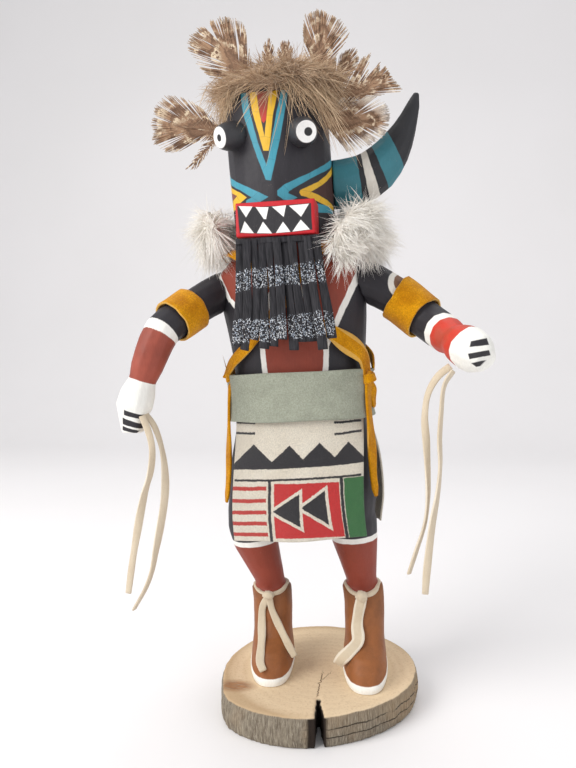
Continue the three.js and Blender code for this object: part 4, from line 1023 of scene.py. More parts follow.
def suede(name, dark, light, edge, edge_at, nap=1.0):
    """Napped suede: its colour drifts where the nap was brushed, and the cut edges show pale."""
    hide = Finish(name, Specular_IOR_Level=0.12, Sheen_Weight=0.12, Sheen_Roughness=0.5)
    place = hide.place()
    drift = hide.grain(place, 110, 3, 0.6)
    fine = hide.grain(place, 1250, 3, 0.75)
    pores = hide.ranged(hide.cells(place, 900), 0.0, 0.22, 1, 0) * hide.ranged(drift, 0.35, 0.6)
    across, _, _ = hide.parts(hide.node("ShaderNodeTexCoord", out="UV"))
    color = hide.mixed(hide.ranged(drift, 0.32, 0.68), dark, light)
    color = hide.mixed(hide.ranged(fine, 0.42, 0.66) * 0.6, color, tinted(dark, 0.72, 0.72, 0.7))
    color = hide.mixed(hide.ranged(fine, 0.46, 0.3) * 0.5, color, tinted(light, 1.1, 1.1, 1.1))
    color = hide.mixed(pores * 0.35, color, tinted(dark, 0.45, 0.42, 0.4))
    if edge_at:
        low, high = edge_at
        rim = hide.ranged(abs(across - (low + high) / 2), (high - low) / 2 - 0.35, (high - low) / 2)
        color = hide.mixed(rim * 0.55, color, edge)
    return hide.shine(Base_Color=color, Roughness=hide.ranged(fine, 0.3, 0.7, 0.82, 0.98),
                      Normal=hide.bumps(fine * nap + drift * 1.2, 0.00045))


MUSTARD = (rgb(190, 122, 0), rgb(226, 160, 14), rgb(236, 196, 110))
for side in ARM_BENDS:
    line, length = arm_lines[side]
    middle = BAND_MIDDLE[side] * length
    run = np.linspace(0, length, len(line))
    round_here, wide = ARM_ROUND[side], BAND_WIDTH[side]

    def on_line(place):
        return Vector(np.interp(place, run, line[:, k]) for k in range(3))

    def band_point(across, down):
        a = math.radians(-98 + 376 * down)
        place = middle + (across - 0.5) * (wide + 0.4 * math.sin(4 * a) + 0.3 * math.sin(9 * a + 1))
        ahead = (on_line(place + 0.5) - on_line(place)).normalized()
        over = ahead.cross(Vector((0, -1, 0.35))).normalized()
        out = over.cross(ahead)
        lap = smooth_step(down, 0.94, 0.97)
        reach = round_here * np.interp(place / length, *ARM_TAPER) + 0.75 + SUEDE_THICKNESS + 1.3 * lap
        reach = reach + 0.12 * math.sin(3 * a + 4 * across)
        return on_line(place) + (over * math.cos(a) + out * math.sin(a)) * reach

    around = 2 * math.pi * (round_here + 0.75 + SUEDE_THICKNESS) * 376 / 360
    finish = suede("armband_suede_" + side, *MUSTARD, (0, wide))
    shape = shaped_sheet(8, 84, band_point, SUEDE_THICKNESS, (wide, around))
    armband = set_piece("suede_armband_" + side, lean_shape(shape), finish,
                        stands_for=["armband_" + side])
    wide * MM
    "arm_" + side


# Kilt: two stiff napped cloth aprons. The front one is painted with a fringe of black peaks, a red field
# with two arrowheads, a green panel and red bars; both hug the waist under the belt and hang free below.
TORSO_Y = 2.0
TORSO_ROWS = np.array([[92.2, 37.7, 22.5], [107.2, 40.5, 25], [130.2, 40.1, 25], [155.4, 35.6, 23.3],
                       [181.2, 36, 23], [216.2, 39.9, 25], [233.9, 41.3, 24.5], [242.1, 37.7, 22.5],
                       [246.8, 26.7, 19]])
BELT_TOP = BODY_FOOT + 0.701 * BODY_HEIGHT
BELT_BOTTOM = BELT_TOP - 25.5
KILT_TOP = BELT_TOP - 8
KILT_WIDTH, KILT_DROP = 68.0, 79.0
BACK_WIDTH, BACK_DROP = 104.0, 80.0
CLOTH_THICKNESS = 1.2


def torso_half(z):
    """Half the torso's width and depth at a height, on the same smooth curve as the carved block's."""
    rows = TORSO_ROWS
    i = int(min(max(np.searchsorted(rows[:, 0], z) - 1, 0), len(rows) - 2))
    h = rows[i + 1, 0] - rows[i, 0]
    t = min(max((z - rows[i, 0]) / h, 0), 1)

    def slope(k):
        a, b = max(k - 1, 0), min(k + 1, len(rows) - 1)
        return (rows[b, 1:] - rows[a, 1:]) / (rows[b, 0] - rows[a, 0])

    m0, m1 = slope(i) * h, slope(i + 1) * h
    p0, p1 = rows[i, 1:], rows[i + 1, 1:]
    return ((2 * t ** 3 - 3 * t ** 2 + 1) * p0 + (t ** 3 - 2 * t ** 2 + t) * m0
            + (3 * t ** 2 - 2 * t ** 3) * p1 + (t ** 3 - t ** 2) * m1)


def torso_point(turn, z, off=0.0):
    half_width, half_depth = torso_half(z)
    c, s = math.cos(turn), math.sin(turn)
    return Vector(((half_width + off) * math.copysign(abs(c) ** (2 / 2.4), c),
                   TORSO_Y + (half_depth + off) * math.copysign(abs(s) ** (2 / 2.4), s), z))


def torso_front(x, z, off):
    half_width, half_depth = torso_half(z)
    share = min(abs(x) / (half_width + off), 1)
    return TORSO_Y - (half_depth + off) * (1 - share ** 2.4) ** (1 / 2.4)


def front_apron(across, down):
    z = KILT_TOP - KILT_DROP * down
    x = (across - 0.5) * KILT_WIDTH * (0.97 + 0.04 * down) + 1
    hug = torso_front(x, z, 1.8)
    free = 1 - smooth_step(z, BELT_BOTTOM - 52, BELT_BOTTOM)
    y = hug * (1 - free) + min(-30.6 + 5 * (2 * across - 1) ** 2, hug) * free
    wave = 0.35 * free * (math.sin(7 * across + 2 * down) + 0.6 * math.sin(15 * across - 3 * down))
    return Vector((x, y + wave, z + 0.3 * math.sin(9 * across) * down))


def back_apron(across, down):
    z = KILT_TOP - BACK_DROP * down
    free = 1 - smooth_step(z, BELT_BOTTOM - 52, BELT_BOTTOM)
    turn = math.pi * (0.9 - 0.85 * across)
    flare = 2 * (1 + 1.75 * smooth_step(1 - across, 0.6, 1))
    wave = 0.4 * free * math.sin(26 * across + 2 * down)
    return torso_point(turn, z, 1.9 + (flare + 0.4) * free + wave)


def kilt_finish(name, front):
    cloth = Finish(name, Specular_IOR_Level=0.15, Sheen_Weight=0.25, Sheen_Roughness=0.6)
    places = cloth.attribute("upright")
    ragged = cloth.node("ShaderNodeVectorMath", cloth.grain(places, 1.5, 2, out="Color"), (0.9, 0.9, 0.9),
                        wobbled(cloth, places, 0.4), operation="MULTIPLY_ADD")
    centred = cloth.node("ShaderNodeVectorMath", ragged, (0.45, 0.45, 0.45), operation="SUBTRACT")
    x, _, z = cloth.parts(centred)
    aged = cloth.ranged(cloth.grain(places, 0.08, 3), 0.35, 0.7)
    cream = cloth.mixed(aged, rgb(226, 216, 198), rgb(236, 228, 212))
    black = rgb(40, 38, 42)
    color = cream
    if front:
        strokes = [((-34, 154.2), (-20.8, 153.6), 1.3), ((-34, 148.4), (-21, 148.1), 1.2),
                   ((20.6, 151.2), (34, 150.6), 1.2), ((20.6, 145.2), (34, 145.5), 1.2),
                   ((-32.4, 124.4), (34, 124.0), 1.1), ((-12.4, 124.6), (-12.6, 92), 1.6),
                   ((24.1, 124.4), (25.9, 92), 1.6)]
        peaks = [(-34.5, 131.3, -21.7, 142.5, -11.6, 133.2), (-11.6, 133.2, -2.2, 141.2, 4.8, 133.6),
                 (4.8, 133.6, 13.2, 141.6, 20.9, 133.6), (20.9, 133.6, 27.5, 140.9, 36, 131.6)]
        dark = [stroke(*one) for one in strokes]
        for ax, az, bx, bz, cx, cz in peaks:
            dark.append([(ax - 0.3, az), (bx, bz), (cx + 0.3, cz), (cx + 0.3, 129.8), (ax - 0.3, 129.8)])
        heights = (120.3, 114.1, 108.2, 102.6, 96.9)
        bars = [stroke((-34, height - 0.2), (-14.2, height), 2.0) for height in heights]
        field = [(-9.9, 122.4), (23.0, 121.6), (24.8, 94.2), (-10.3, 94.9)]
        panel = [(25.4, 123.2), (36, 123.2), (37, 92), (26.9, 92)]
        green = cloth.mixed(cloth.grain(places, 0.3, 3), rgb(46, 100, 56), rgb(66, 122, 70))
        for groups, shade in (([field], rgb(200, 44, 44)), ([panel], green), (bars, rgb(194, 58, 50))):
            color = cloth.mixed(painted(cloth, patches(x, z, groups)), color, shade)
        for corners in ([(3.9, 110), (16, 117.8), (17.5, 100.5)], [(-10.8, 108.5), (3.1, 117), (3.3, 100.3)]):
            arrowhead = patch(x, z, corners)
            color = cloth.mixed(painted(cloth, arrowhead - 1.5), color, cream)
            color = cloth.mixed(painted(cloth, arrowhead), color, black)
        color = cloth.mixed(painted(cloth, patches(x, z, dark)), color, black)
    nap = cloth.grain(places, 2.2, 4, 0.75)
    weave = cloth.grain(cloth.stretched(places, (3.0, 3.0, 0.7)), 1, 3, 0.6)
    color = cloth.node("ShaderNodeHueSaturation", named={
        "Color": color, "Value": cloth.ranged(nap + weave * 0.5, 0.5, 1.0, 0.7, 1.2)})
    dust = cloth.ranged(cloth.grain(places, 1.3, 4, 0.7), 0.62, 0.75)
    color = cloth.mixed(dust * 0.3, color, rgb(196, 184, 160))
    return cloth.shine(Base_Color=color, Roughness=cloth.ranged(nap, 0.3, 0.7, 0.8, 0.96),
                       Normal=cloth.bumps(nap * 1.6 + weave, 0.0005))


APRONS = {"front": (68, 76, front_apron, KILT_WIDTH, KILT_DROP),
          "back": (110, 60, back_apron, BACK_WIDTH, BACK_DROP)}
for end, (columns, rows, at, wide, drop) in APRONS.items():
    shape = lean_shape(shaped_sheet(columns, rows, at, CLOTH_THICKNESS, (wide, drop)))
    apron = set_piece("kilt_apron_" + end, shape, kilt_finish("kilt_cloth_" + end, end == "front"),
                      stands_for=["kilt_" + end])
    wide * MM


# Belt: one wide strip of grey-green suede wound round the waist over the aprons' tops, lapped behind.
BELT_LENGTH, BELT_WIDTH = 201.0, 25.5
BELT_THICKNESS = 1.6


def belt_point(across, down):
    turn = math.radians(80 - 364 * across)
    lap = max(0.0, (across - 0.985) / 0.015)
    z = BELT_BOTTOM + BELT_WIDTH * down - 1.5 * (1 + math.cos(turn))
    z += 0.35 * math.sin(6 * turn) * (down - 0.5)
    pull = 0.2 * math.sin(3 * turn + 2) - 2.4 * abs(math.cos(turn)) ** 12
    return torso_point(turn, z, 2.4 + BELT_THICKNESS + pull * 0.5 + 0.5 * (2 * down - 1) ** 6 + 0.4 * lap)


belt_shape = lean_shape(shaped_sheet(150, 16, belt_point, BELT_THICKNESS, (BELT_LENGTH, BELT_WIDTH)))
belt_suede = suede("belt_suede", rgb(156, 160, 144), rgb(172, 176, 160), rgb(196, 198, 182), None, 1.8)
belt = set_piece("suede_belt", belt_shape, belt_suede, stands_for=["belt"])


# Sashes: two strips of mustard suede, each over one shoulder and across the chest and back to the other
# hip, where its ends are knotted and hang as tails.
SASH_ROUTE = [
    (-150, 0.712, 1), (-143, 0.728, 0.7), (-125, 0.758, 0.1), (-106, 0.8, 0), (-91, 0.85, 0), (-82, 0.905, 0),
    (-66, 0.955, 0), (-42, 0.976, 0), (0, 0.978, 0), (42, 0.976, 0), (66, 0.955, 0), (82, 0.905, 0),
    (91, 0.85, 0), (125, 0.77, 0), (150, 0.73, 0.7), (163, 0.712, 1), (176, 0.69, 1),
]
SASH_OUT = 5.3
SASHES = {
    "sash_right": (1, 1.8, -152, 0.695, [
        ([(-1, -1, -12), (-2, -1, -36), (-2.6, -1, -56), (-4, -1, -68)], 5.2)]),
    "sash_left": (-1, 4.1, -155, 0.668, [
        ([(0, -1, -12), (1, -1, -34), (1.6, -1, -50), (3, -1, -62)], 5.6),
        ([(1.6, 4, -6), (2.6, 6, -16)], 4.8)]),
}


def sash_strip(line, facing, width):
    return lean_shape(cut_strip(line, facing, width, SUEDE_THICKNESS, 4))


def joined(shapes):
    """One mesh of several closed shapes."""
    whole = bmesh.new()
    for shape in shapes:
        part = bpy.data.meshes.new("part")
        shape.to_mesh(part)
        shape.free()
        whole.from_mesh(part)
        bpy.data.meshes.remove(part)
    return whole


def wad(place, size, subdivisions, fold):
    """A small lump of pulled leather, size across, deep and high, its surface swollen by fold(place)."""
    bm = bmesh.new()
    bmesh.ops.create_icosphere(bm, subdivisions=subdivisions, radius=1)
    for v in bm.verts:
        v.co = Vector(place) + Vector(a * b for a, b in zip(v.co, size)) * fold(v.co)
    return lean_shape(bm)


def knot_shapes(place, size, side):
    """A pulled knot: a small wad with one turn of the strip wound over it."""
    def fold(p):
        lump = noise.noise(p * 1.7 + Vector((side * 3, 0, 5)))
        return 1 + 0.16 * lump + 0.07 * math.sin(9 * p.z + 4 * p.y)

    turns = []
    for i in range(41):
        a = math.radians(-200 + 400 * i / 40)
        turns.append((place[0] + size * 0.95 * math.cos(a), place[1] + size * 1.25 * math.sin(a),
                      place[2] + 1.3 * math.sin(a / 2) + 0.6))
    turns = np.array(turns)

    def outward(i):
        return tuple(turns[i] - np.array(place) + np.array([0, 0, 0.4]))

    knot = wad(place, (size * 0.72, size * 1.05, size * 0.95), 4, fold)
    return [knot, sash_strip(turns, outward, lambda t: 4.6 + 0.4 * math.sin(9 * t))]


for name, (side, off, knot_turn, knot_share, tails) in SASHES.items():
    def on_torso(turn, share, lift, extra=0.0):
        a = math.radians(turn if side > 0 else 180 - turn)
        return torso_point(a, BODY_FOOT + share * BODY_HEIGHT, off + (SASH_OUT - off) * lift + extra)

    route = [on_torso(knot_turn, knot_share, 1.5)] + [on_torso(*place) for place in SASH_ROUTE]
    line, length = along_points(route, 150)

    def outward(i):
        x, y, z = line[i]
        over = smooth_step(z, BODY_FOOT + 0.93 * BODY_HEIGHT, BODY_FOOT + 0.975 * BODY_HEIGHT)
        return (x / 40.5, (y - TORSO_Y) / 25, over * 2)

    def breadth(t):
        near_hip = math.exp(-((t - 0.06) / 0.05) ** 2) + math.exp(-((t - 0.95) / 0.05) ** 2)
        broad = 5 * math.exp(-((t - 0.085) / 0.05) ** 2) if side < 0 else 0.8 * near_hip
        return 5.8 + broad + 0.35 * math.sin(31 * t) + 0.2 * math.sin(67 * t + 1)

    hip = torso_point(math.radians(knot_turn if side > 0 else 180 - knot_turn),
                      BODY_FOOT + knot_share * BODY_HEIGHT, 6.4 if side < 0 else 4.6)
    shapes = [sash_strip(line, outward, breadth)] + knot_shapes(hip, 3.6 if side < 0 else 2.1, side)
    for k, (places, wide) in enumerate(tails):
        tail_line, _ = along_points([hip] + [hip + Vector(p) for p in places], 46)
        toward = 1 if tail_line[0][0] > 0 else -1

        def tail_facing(i):
            a = 0.5 * math.sin(0.13 * i + 2 * k)
            return (toward * math.cos(a), -0.6 + 0.7 * math.sin(a), 0)

        def tail_width(t):
            return wide * (0.8 + 0.35 * math.sin(math.pi * min(t * 1.15, 1)) + 0.08 * math.sin(14 * t + k)
                           - 0.55 * max(0, t - 0.93) / 0.07)

        shapes.append(sash_strip(tail_line, tail_facing, tail_width))
    finish = suede(name + "_suede", *MUSTARD, (-3.4, 3.4))
    set_piece("suede_" + name, joined(shapes), finish, stands_for=[name])


# Beard: a strip of black suede glued under the mouth and cut into hanging fingers, each with its own
# curl, with two bands of silver glitter brushed across them.
BEARD_TOP = HEAD_FOOT - 0.75
BEARD_Y = -32.0
BEARD_WIDTH, BEARD_FLARE = 42.0, 48.0
BEARD_STRIPS = 11
BEARD_LENGTH = 53.0
BEARD_THICKNESS = 1.3
FINGER_PITCH = BEARD_WIDTH / BEARD_STRIPS
NARROWED = {2: 0.2, 4: 0.34, 7: 0.12, 8: 0.3}


def tilted(shape):
    """The beard follows the mouth board, which is glued on a little askew."""
    for v in shape.verts:
        v.co.z -= math.tan(MOUTH_TILT) * (v.co.x - 0.5)
    return lean_shape(shape)


def beard_header(across, down):
    y = BEARD_Y + 0.3 - 0.15 * math.sin(20 * across)
    return Vector((0.5 + (across - 0.5) * BEARD_WIDTH, y, BEARD_TOP - 3 * down))


def beard_shapes():
    shapes = [tilted(shaped_sheet(40, 8, beard_header, BEARD_THICKNESS, (BEARD_WIDTH, 3)))]
    random.seed(4)
    for i in range(BEARD_STRIPS):
        share = (i + 0.5) / BEARD_STRIPS - 0.5
        length = BEARD_LENGTH + 1 + 3 * math.sin(i * 2.3)
        spread = share * 13 - 3
        wave = 0.7 * math.sin(i * 1.9)
        sway_by, curl = random.uniform(-0.6, 0.6), random.uniform(-0.35, 0.35)
        points = []
        for k in range(9):
            down = k / 8
            x = 0.5 + share * BEARD_WIDTH + spread * down ** 1.5 + sway_by * math.sin(4 * down + i)
            y = BEARD_Y + wave * down - 0.75 * (i % 2) - 0.3 * math.sin(3 * down + i)
            points.append((x, y, BEARD_TOP - 0.8 - down * (length - 0.8)))
        line, _ = along_points(points, 34)

        def facing(k):
            a = curl * k / 34 + 0.12 * math.sin(0.3 * k + 2 * i)
            return (math.sin(a), -math.cos(a), 0)

        def width(t):
            waist = NARROWED.get(i, 0.05) * math.sin(3.1 * min(1, t * 1.2))
            return FINGER_PITCH * (1.1 + 0.2 * t + 0.05 * math.sin(9 * t + 2 * i) - waist)

        shapes.append(tilted(cut_strip(line, facing, width, BEARD_THICKNESS * 0.85)))
    return shapes


def beard_finish():
    hide = Finish("beard_suede", Specular_IOR_Level=0.3)
    places = hide.attribute("upright")
    _, _, z = hide.parts(places)
    fine = hide.grain(places, 1.8, 4, 0.7)
    creases = hide.grain(hide.stretched(places, (1.4, 1.4, 0.12)), 1, 3, 0.6)
    color = hide.mixed(hide.ranged(creases, 0.35, 0.65), rgb(26, 26, 30), rgb(54, 53, 57))
    crumpled = wobbled(hide, hide.stretched(places, (1.6, 1, 1.1)), 0.5)
    flakes = hide.cells(crumpled, 1.25, out="Color")
    pick, tint, tilt = hide.parts(flakes)
    core = hide.ranged(hide.cells(crumpled, 1.25), 0.44, 0.54, 1, 0)
    ragged = hide.grain(places, 0.2, 2) * 5 - 2.5
    upper = hide.ranged(abs(z - 226.5 - ragged), 7.5, 4.0)
    lower = hide.ranged(abs(z - 201 - ragged), 8.5, 4.5)
    thin = hide.ranged((upper | lower) * hide.grain(places, 0.5, 2), 0.3, 0.42)
    glitter = hide.ranged(pick, 0.36, 0.38) * core * thin
    silver = hide.mixed(tint, rgb(240, 242, 244), rgb(150, 164, 182))
    color = hide.mixed(glitter, color, silver)
    rough = hide.ranged(glitter, 0, 1, 0.8, 0.3)
    return hide.shine(Base_Color=color, Roughness=rough, Metallic=glitter * 0.35,
                      Normal=hide.bumps(fine * 0.4 + creases * 0.8 + glitter * tilt * 3, 0.00025))


beard = set_piece("strip_beard", joined(beard_shapes()), beard_finish(),
                  stands_for=["beard"])


# Boot laces: a strip of the thongs' leather tied round the top of each boot, with a knot in front and
# tails that hang down over the foot.
LACE_WIDTH = 4.4
RING_THICKNESS, TAIL_THICKNESS = 1.9, 1.4
LACE_TAILS = {
    "boot_lace_right": (-1, [
        ([(-112, 0.78, 0), (-114, 0.6, 0.6), (-112, 0.45, 1), (-111, 0.35, 1), (-109, 0.26, 0.8),
          (-101, 0.2, 0.8)], 4.4),
        ([(-90, 0.76, 0), (-76, 0.58, 0.8), (-59, 0.42, 1.6), (-40, 0.24, 2.2)], 4.0)]),
    "boot_lace_left": (1, [
        ([(-104, 0.78, 0), (-108, 0.62, 0.8), (-106, 0.48, 1.6), (-122, 0.38, 2.2), (-138, 0.28, 2.8),
          (-147, 0.18, 3)], 6.6)]),
}


def ring_facing(i):
    return (0.1 * math.sin(0.4 * i), 0.1 * math.cos(0.3 * i), 1)


def lace_tail_facing(i):
    return (0.25 * math.sin(0.2 * i), -1, 0.6)


lace_finish = leather_strip_finish("lace_leather", rgb(222, 208, 184), rgb(236, 226, 208), rgb(196, 178, 150),
                                   LACE_WIDTH)
for name, (side, tails) in LACE_TAILS.items():
    def on_boot(turn, rise, off):
        return boot_point(side, math.radians(turn), rise, 1.8 + off)

    knot = on_boot(-94, 1, 1.2) + Vector((0, 0, 0.5))
    ring = []
    for i in range(73):
        turn = math.radians(-94 + 5 * i)
        front = max(0, math.cos(turn + math.pi / 2)) ** 3
        spot = boot_point(side, turn, 1, -2.5 + 3.2 * front + 0.25 * math.sin(3 * turn))
        ring.append((spot.x, spot.y, spot.z + 0.9 + 0.4 * front))
    ring = cut_strip(np.array(ring), ring_facing, lambda t: 2.3 + 0.3 * math.sin(25 * t), RING_THICKNESS)
    shapes = [lean_shape(ring)]

    def fold(p):
        return 1 + 0.2 * noise.noise(p * 1.9 + Vector((side, 4, 2))) + 0.06 * math.sin(11 * p.x)

    shapes.append(wad(knot, (3.3, 2.4, 2.7), 3, fold))
    for places, wide in tails:
        line, _ = along_points([knot] + [on_boot(*p) for p in places], 40)

        def tail_width(t):
            return wide * (0.8 + 0.2 * math.sin(2.6 * t) + 0.05 * math.sin(17 * t))

        shapes.append(lean_shape(cut_strip(line, lace_tail_facing, tail_width, TAIL_THICKNESS, 3)))
    set_piece("leather_" + name, joined(shapes), lace_finish, stands_for=[name])


# Fur ruff: a thick collar of long white fur round the neck, open in front: a soft core, and long hairs
# combed outwards and down over it that end in wisps.
def hair_mesh(name, count, spans):
    """Thin closed three-sided hairs as one mesh, each hair with its own number."""
    bm = bmesh.new()
    tag = bm.verts.layers.int.new("hair")
    bmesh.ops.create_cone(bm, cap_ends=True, cap_tris=False, segments=3, radius1=1, radius2=1, depth=1)
    for k in range(1, spans):
        bmesh.ops.bisect_plane(bm, geom=bm.verts[:] + bm.edges[:] + bm.faces[:], dist=1e-5,
                               plane_co=(0, 0, k / spans - 0.5), plane_no=(0, 0, 1))
    made = 1
    while made < count:
        copied = bmesh.ops.duplicate(bm, geom=bm.verts[:] + bm.edges[:] + bm.faces[:])["geom"]
        for g in copied:
            if isinstance(g, bmesh.types.BMVert):
                g[tag] += made
        made *= 2
    bmesh.ops.delete(bm, geom=[v for v in bm.verts if v[tag] >= count], context="VERTS")
    mesh = bpy.data.meshes.new(name)
    bm.to_mesh(mesh)
    bm.free()
    return mesh


def grown(name, roots, aims, bends, half_widths, half_depths, tones, spans=3, faces=None, tip=0.15):
    """Hairs that start at roots, run along aims and curve by bends; tones is kept for their colour."""
    mesh = hair_mesh(name, len(roots), spans)
    which = np.empty(len(mesh.vertices), np.int32)
    mesh.attributes["hair"].data.foreach_get("value", which)
    local = mesh_points(mesh)
    t = local[:, 2] + 0.5
    ahead = aims[which] + 2 * bends[which] * t[:, None]
    ahead /= np.linalg.norm(ahead, axis=1)[:, None]
    out = (faces if faces is not None else np.tile([0.31, -0.9, 0.3], (len(roots), 1)))[which]
    side = np.cross(ahead, out)
    side /= np.linalg.norm(side, axis=1)[:, None] + 1e-9
    out = np.cross(side, ahead)
    taper = tip + (1 - tip) * (1 - t ** 2.2)
    points = roots[which] + aims[which] * t[:, None] + bends[which] * (t * t)[:, None]
    points += side * (local[:, 0] * half_widths[which] * taper)[:, None]
    points += out * (local[:, 1] * half_depths[which] * taper)[:, None]
    mesh.vertices.foreach_set("co", points.ravel())
    mesh.update()
    note_places(mesh, "strand", np.stack([t, tones[which], which / len(roots)], 1))
    return mesh


def scattered(mesh, count, seed, keep=None):
    """Random places on a mesh, spread evenly over its area, with the faces' outward directions."""
    dice = np.random.default_rng(seed)
    faces = len(mesh.polygons)
    areas = np.empty(faces)
    mesh.polygons.foreach_get("area", areas)
    centers, normals = triples(mesh.polygons, "center"), triples(mesh.polygons, "normal")
    if keep is not None:
        areas = areas * keep(centers, normals)
    picked = dice.choice(faces, count, p=areas / areas.sum())
    return centers[picked] + dice.normal(0, 0.35, (count, 3)), normals[picked], dice


def lengthened(vectors, lengths):
    return vectors / (np.linalg.norm(vectors, axis=1)[:, None] + 1e-9) * lengths[:, None]


def fur_finish(name, root, shade, light, rough=0.75):
    fur = Finish(name, Specular_IOR_Level=0.2, Sheen_Weight=0.2, Sheen_Roughness=0.5)
    along, tone, _ = fur.parts(fur.attribute("strand"))
    place = fur.place()
    drift = fur.grain(place, 70, 3)
    color = fur.mixed(tone, shade, light)
    color = fur.mixed(fur.ranged(along, 0.0, 0.45, 0.8, 0.0), color, root)
    color = fur.mixed(fur.ranged(drift, 0.4, 0.7) * 0.35, color, root)
    return fur.shine(Base_Color=color, Roughness=rough)


def core_finish(name, dark, light, scale=(900, 900, 160)):
    """The soft body under the hairs: streaked like matted fur."""
    fur = Finish(name, Roughness=0.95, Specular_IOR_Level=0.1, Sheen_Weight=0.3)
    place = fur.place()
    streaks = fur.grain(fur.stretched(place, scale, (0.2, 0.3, 0.4)), 1, 4, 0.7)
    color = fur.mixed(fur.ranged(streaks, 0.3, 0.7), dark, light)
    return fur.shine(Base_Color=color, Normal=fur.bumps(streaks, 0.001))


def shrunk(depth):
    return lambda points, normals: points - normals * depth


def combed(name, mesh, count, seed, coat, change, keep=None):
    """A coat of hairs on a mesh, combed outwards from its middle, clumped, and curved down by its weight."""
    roots, normals, dice = scattered(mesh, count, seed, keep)
    spread = roots - leaned([coat["middle"]])[0]
    spread[:, 2] = 0
    spread = lengthened(spread, np.ones(count))
    lift, fan, drop = coat["aim"]
    aims = normals * lift + spread * fan + dice.normal(0, 0.25, (count, 3)) + np.array([0, 0, drop])
    scale, shift = coat["clumps"]
    clumps = np.array([[noise.noise(Vector(p * scale + k * shift)) for k in range(3)] for p in roots])
    aims, stretch = change(roots, aims + clumps * 1.5)
    aims = lengthened(aims, dice.uniform(*coat["reach"], count) * stretch)
    fall, curl = coat["fall"], coat["curl"]
    bends = np.array([0, 0, -1.0]) * dice.uniform(*fall, count)[:, None] + dice.normal(0, curl, (count, 3))
    return grown(name, roots, aims, bends, dice.uniform(*coat["width"], count),
                 dice.uniform(*coat["depth"], count), dice.uniform(0, 1, count) ** coat["pale"])


def over_strap(roots, aims):
    """Hairs over the sash's strap are longer and combed down across it."""
    on_strap = ((roots[:, 0] < -20) & (roots[:, 1] < 0) & (roots[:, 2] < HEAD_FOOT + 6))[:, None]
    return aims + on_strap * np.array([0.9, -0.4, -0.6]), 1 + 0.35 * on_strap[:, 0]


ruff_mesh = refined_copy("ruff", 1.6, 4, shrunk(3.6))
core_blank = ruff_mesh.copy()
set_piece("ruff_core", ruff_mesh, core_finish("ruff_core_fur", rgb(224, 218, 208), rgb(246, 242, 234)),
          stands_for=["ruff"])
white_fur = fur_finish("ruff_fur", rgb(222, 216, 205), rgb(240, 235, 226), rgb(254, 253, 250))
for name, seed, count, reach, width in (("ruff_fur", 11, 8000, (6, 12), (0.12, 0.28)),
                                        ("ruff_wisps", 12, 7000, (8, 16), (0.05, 0.12))):
    coat = {"middle": (1, 0, HEAD_FOOT), "aim": (0.6, 0.3, -0.5), "clumps": (0.14, 40), "reach": reach,
            "fall": (0.5, 2.6), "curl": 0.9, "width": width, "depth": (0.06, 0.12), "pale": 1}
    set_piece(name, combed(name, core_blank, count, seed, coat, over_strap), white_fur, smooth=False,
              stands_for=["ruff"])


# Down cap: soft brown down glued over the crown, combed to all sides, with loose barbs that fall over
# the brow, past the left eye and out at the sides.
def pressed_down(points, normals):
    points = points - normals * 3
    points[:, 2] -= np.maximum(points[:, 2] - 336, 0) * 0.5
    return points


def laid_low(roots, aims):
    aims[:, 2] *= np.where(aims[:, 2] > 0, 0.3, 1)
    return aims, 1


cap_mesh = refined_copy("fur_cap", 1.4, 4, pressed_down)
cap_coat = {"middle": (4, 0, 335), "aim": (0.3, 0.55, -0.05), "clumps": (0.11, 30), "reach": (7, 15),
            "fall": (0, 3.4), "curl": 1.2, "width": (0.1, 0.24), "depth": (0.07, 0.13), "pale": 1.3}
cap_down = combed("cap_down", cap_mesh, 6500, 21, cap_coat, laid_low,
                  lambda centers, normals: np.where(normals[:, 2] > -0.5, 1.0, 0.25))
fluff_core = core_finish("down_core_fluff", rgb(140, 113, 90), rgb(182, 154, 126), (300, 300, 700))
set_piece("down_core", cap_mesh, fluff_core, stands_for=["fur_cap"])
fluff = fur_finish("down_fluff", rgb(154, 126, 102), rgb(168, 138, 110), rgb(228, 204, 174))
set_piece("down_fluff", cap_down, fluff, smooth=False, stands_for=["fur_cap"])


LOOSE_FALLS = [
    ((-22, -20, 326), (-27, -20, 312), 46, 4.0), ((-14, -26, 328), (-22, -29, 314), 26, 4.5),
    ((2, -28, 330), (14, -31, 318), 60, 6.0), ((10, -26, 330), (30, -26, 306), 60, 5.0),
    ((20, -22, 330), (38, -18, 300), 70, 5.0), ((4, -28, 328), (-12, -31, 318), 40, 6.0),
    ((14, -26, 328), (14, -31, 300), 22, 6.0), ((26, -16, 332), (42, -8, 316), 60, 6.0),
    ((-26, -10, 332), (-38, -10, 322), 40, 6.0), ((22, -20, 322), (36, -22, 288), 34, 3.5),
]


def loose_barbs():
    dice = np.random.default_rng(33)
    roots, aims, bends = [], [], []
    for start, end, count, spread in LOOSE_FALLS:
        a, b = leaned([start, end])
        for _ in range(count):
            root = a + dice.normal(0, spread * 0.6, 3) * (1, 0.3, 0.7)
            aim = b - a + dice.normal(0, spread, 3) * (1, 0.35, 1)
            roots.append(root)
            aims.append(aim * dice.uniform(0.6, 1.1))
            bends.append(dice.normal(0, 2.0, 3) * (1, 0.4, 1) + np.array([0, -0.5, -2.0]))
    count = len(roots)
    wide, deep, tones = (dice.uniform(*span, count) for span in ((0.1, 0.24), (0.05, 0.1), (0, 1)))
    return grown("loose_barbs", np.array(roots), np.array(aims), np.array(bends), wide, deep, tones, spans=6)


barb_finish = fur_finish("loose_barbs", rgb(158, 128, 100), rgb(168, 138, 108), rgb(222, 196, 162))
set_piece("loose_barbs", loose_barbs(), barb_finish, smooth=False, stands_for=["fur_cap"])


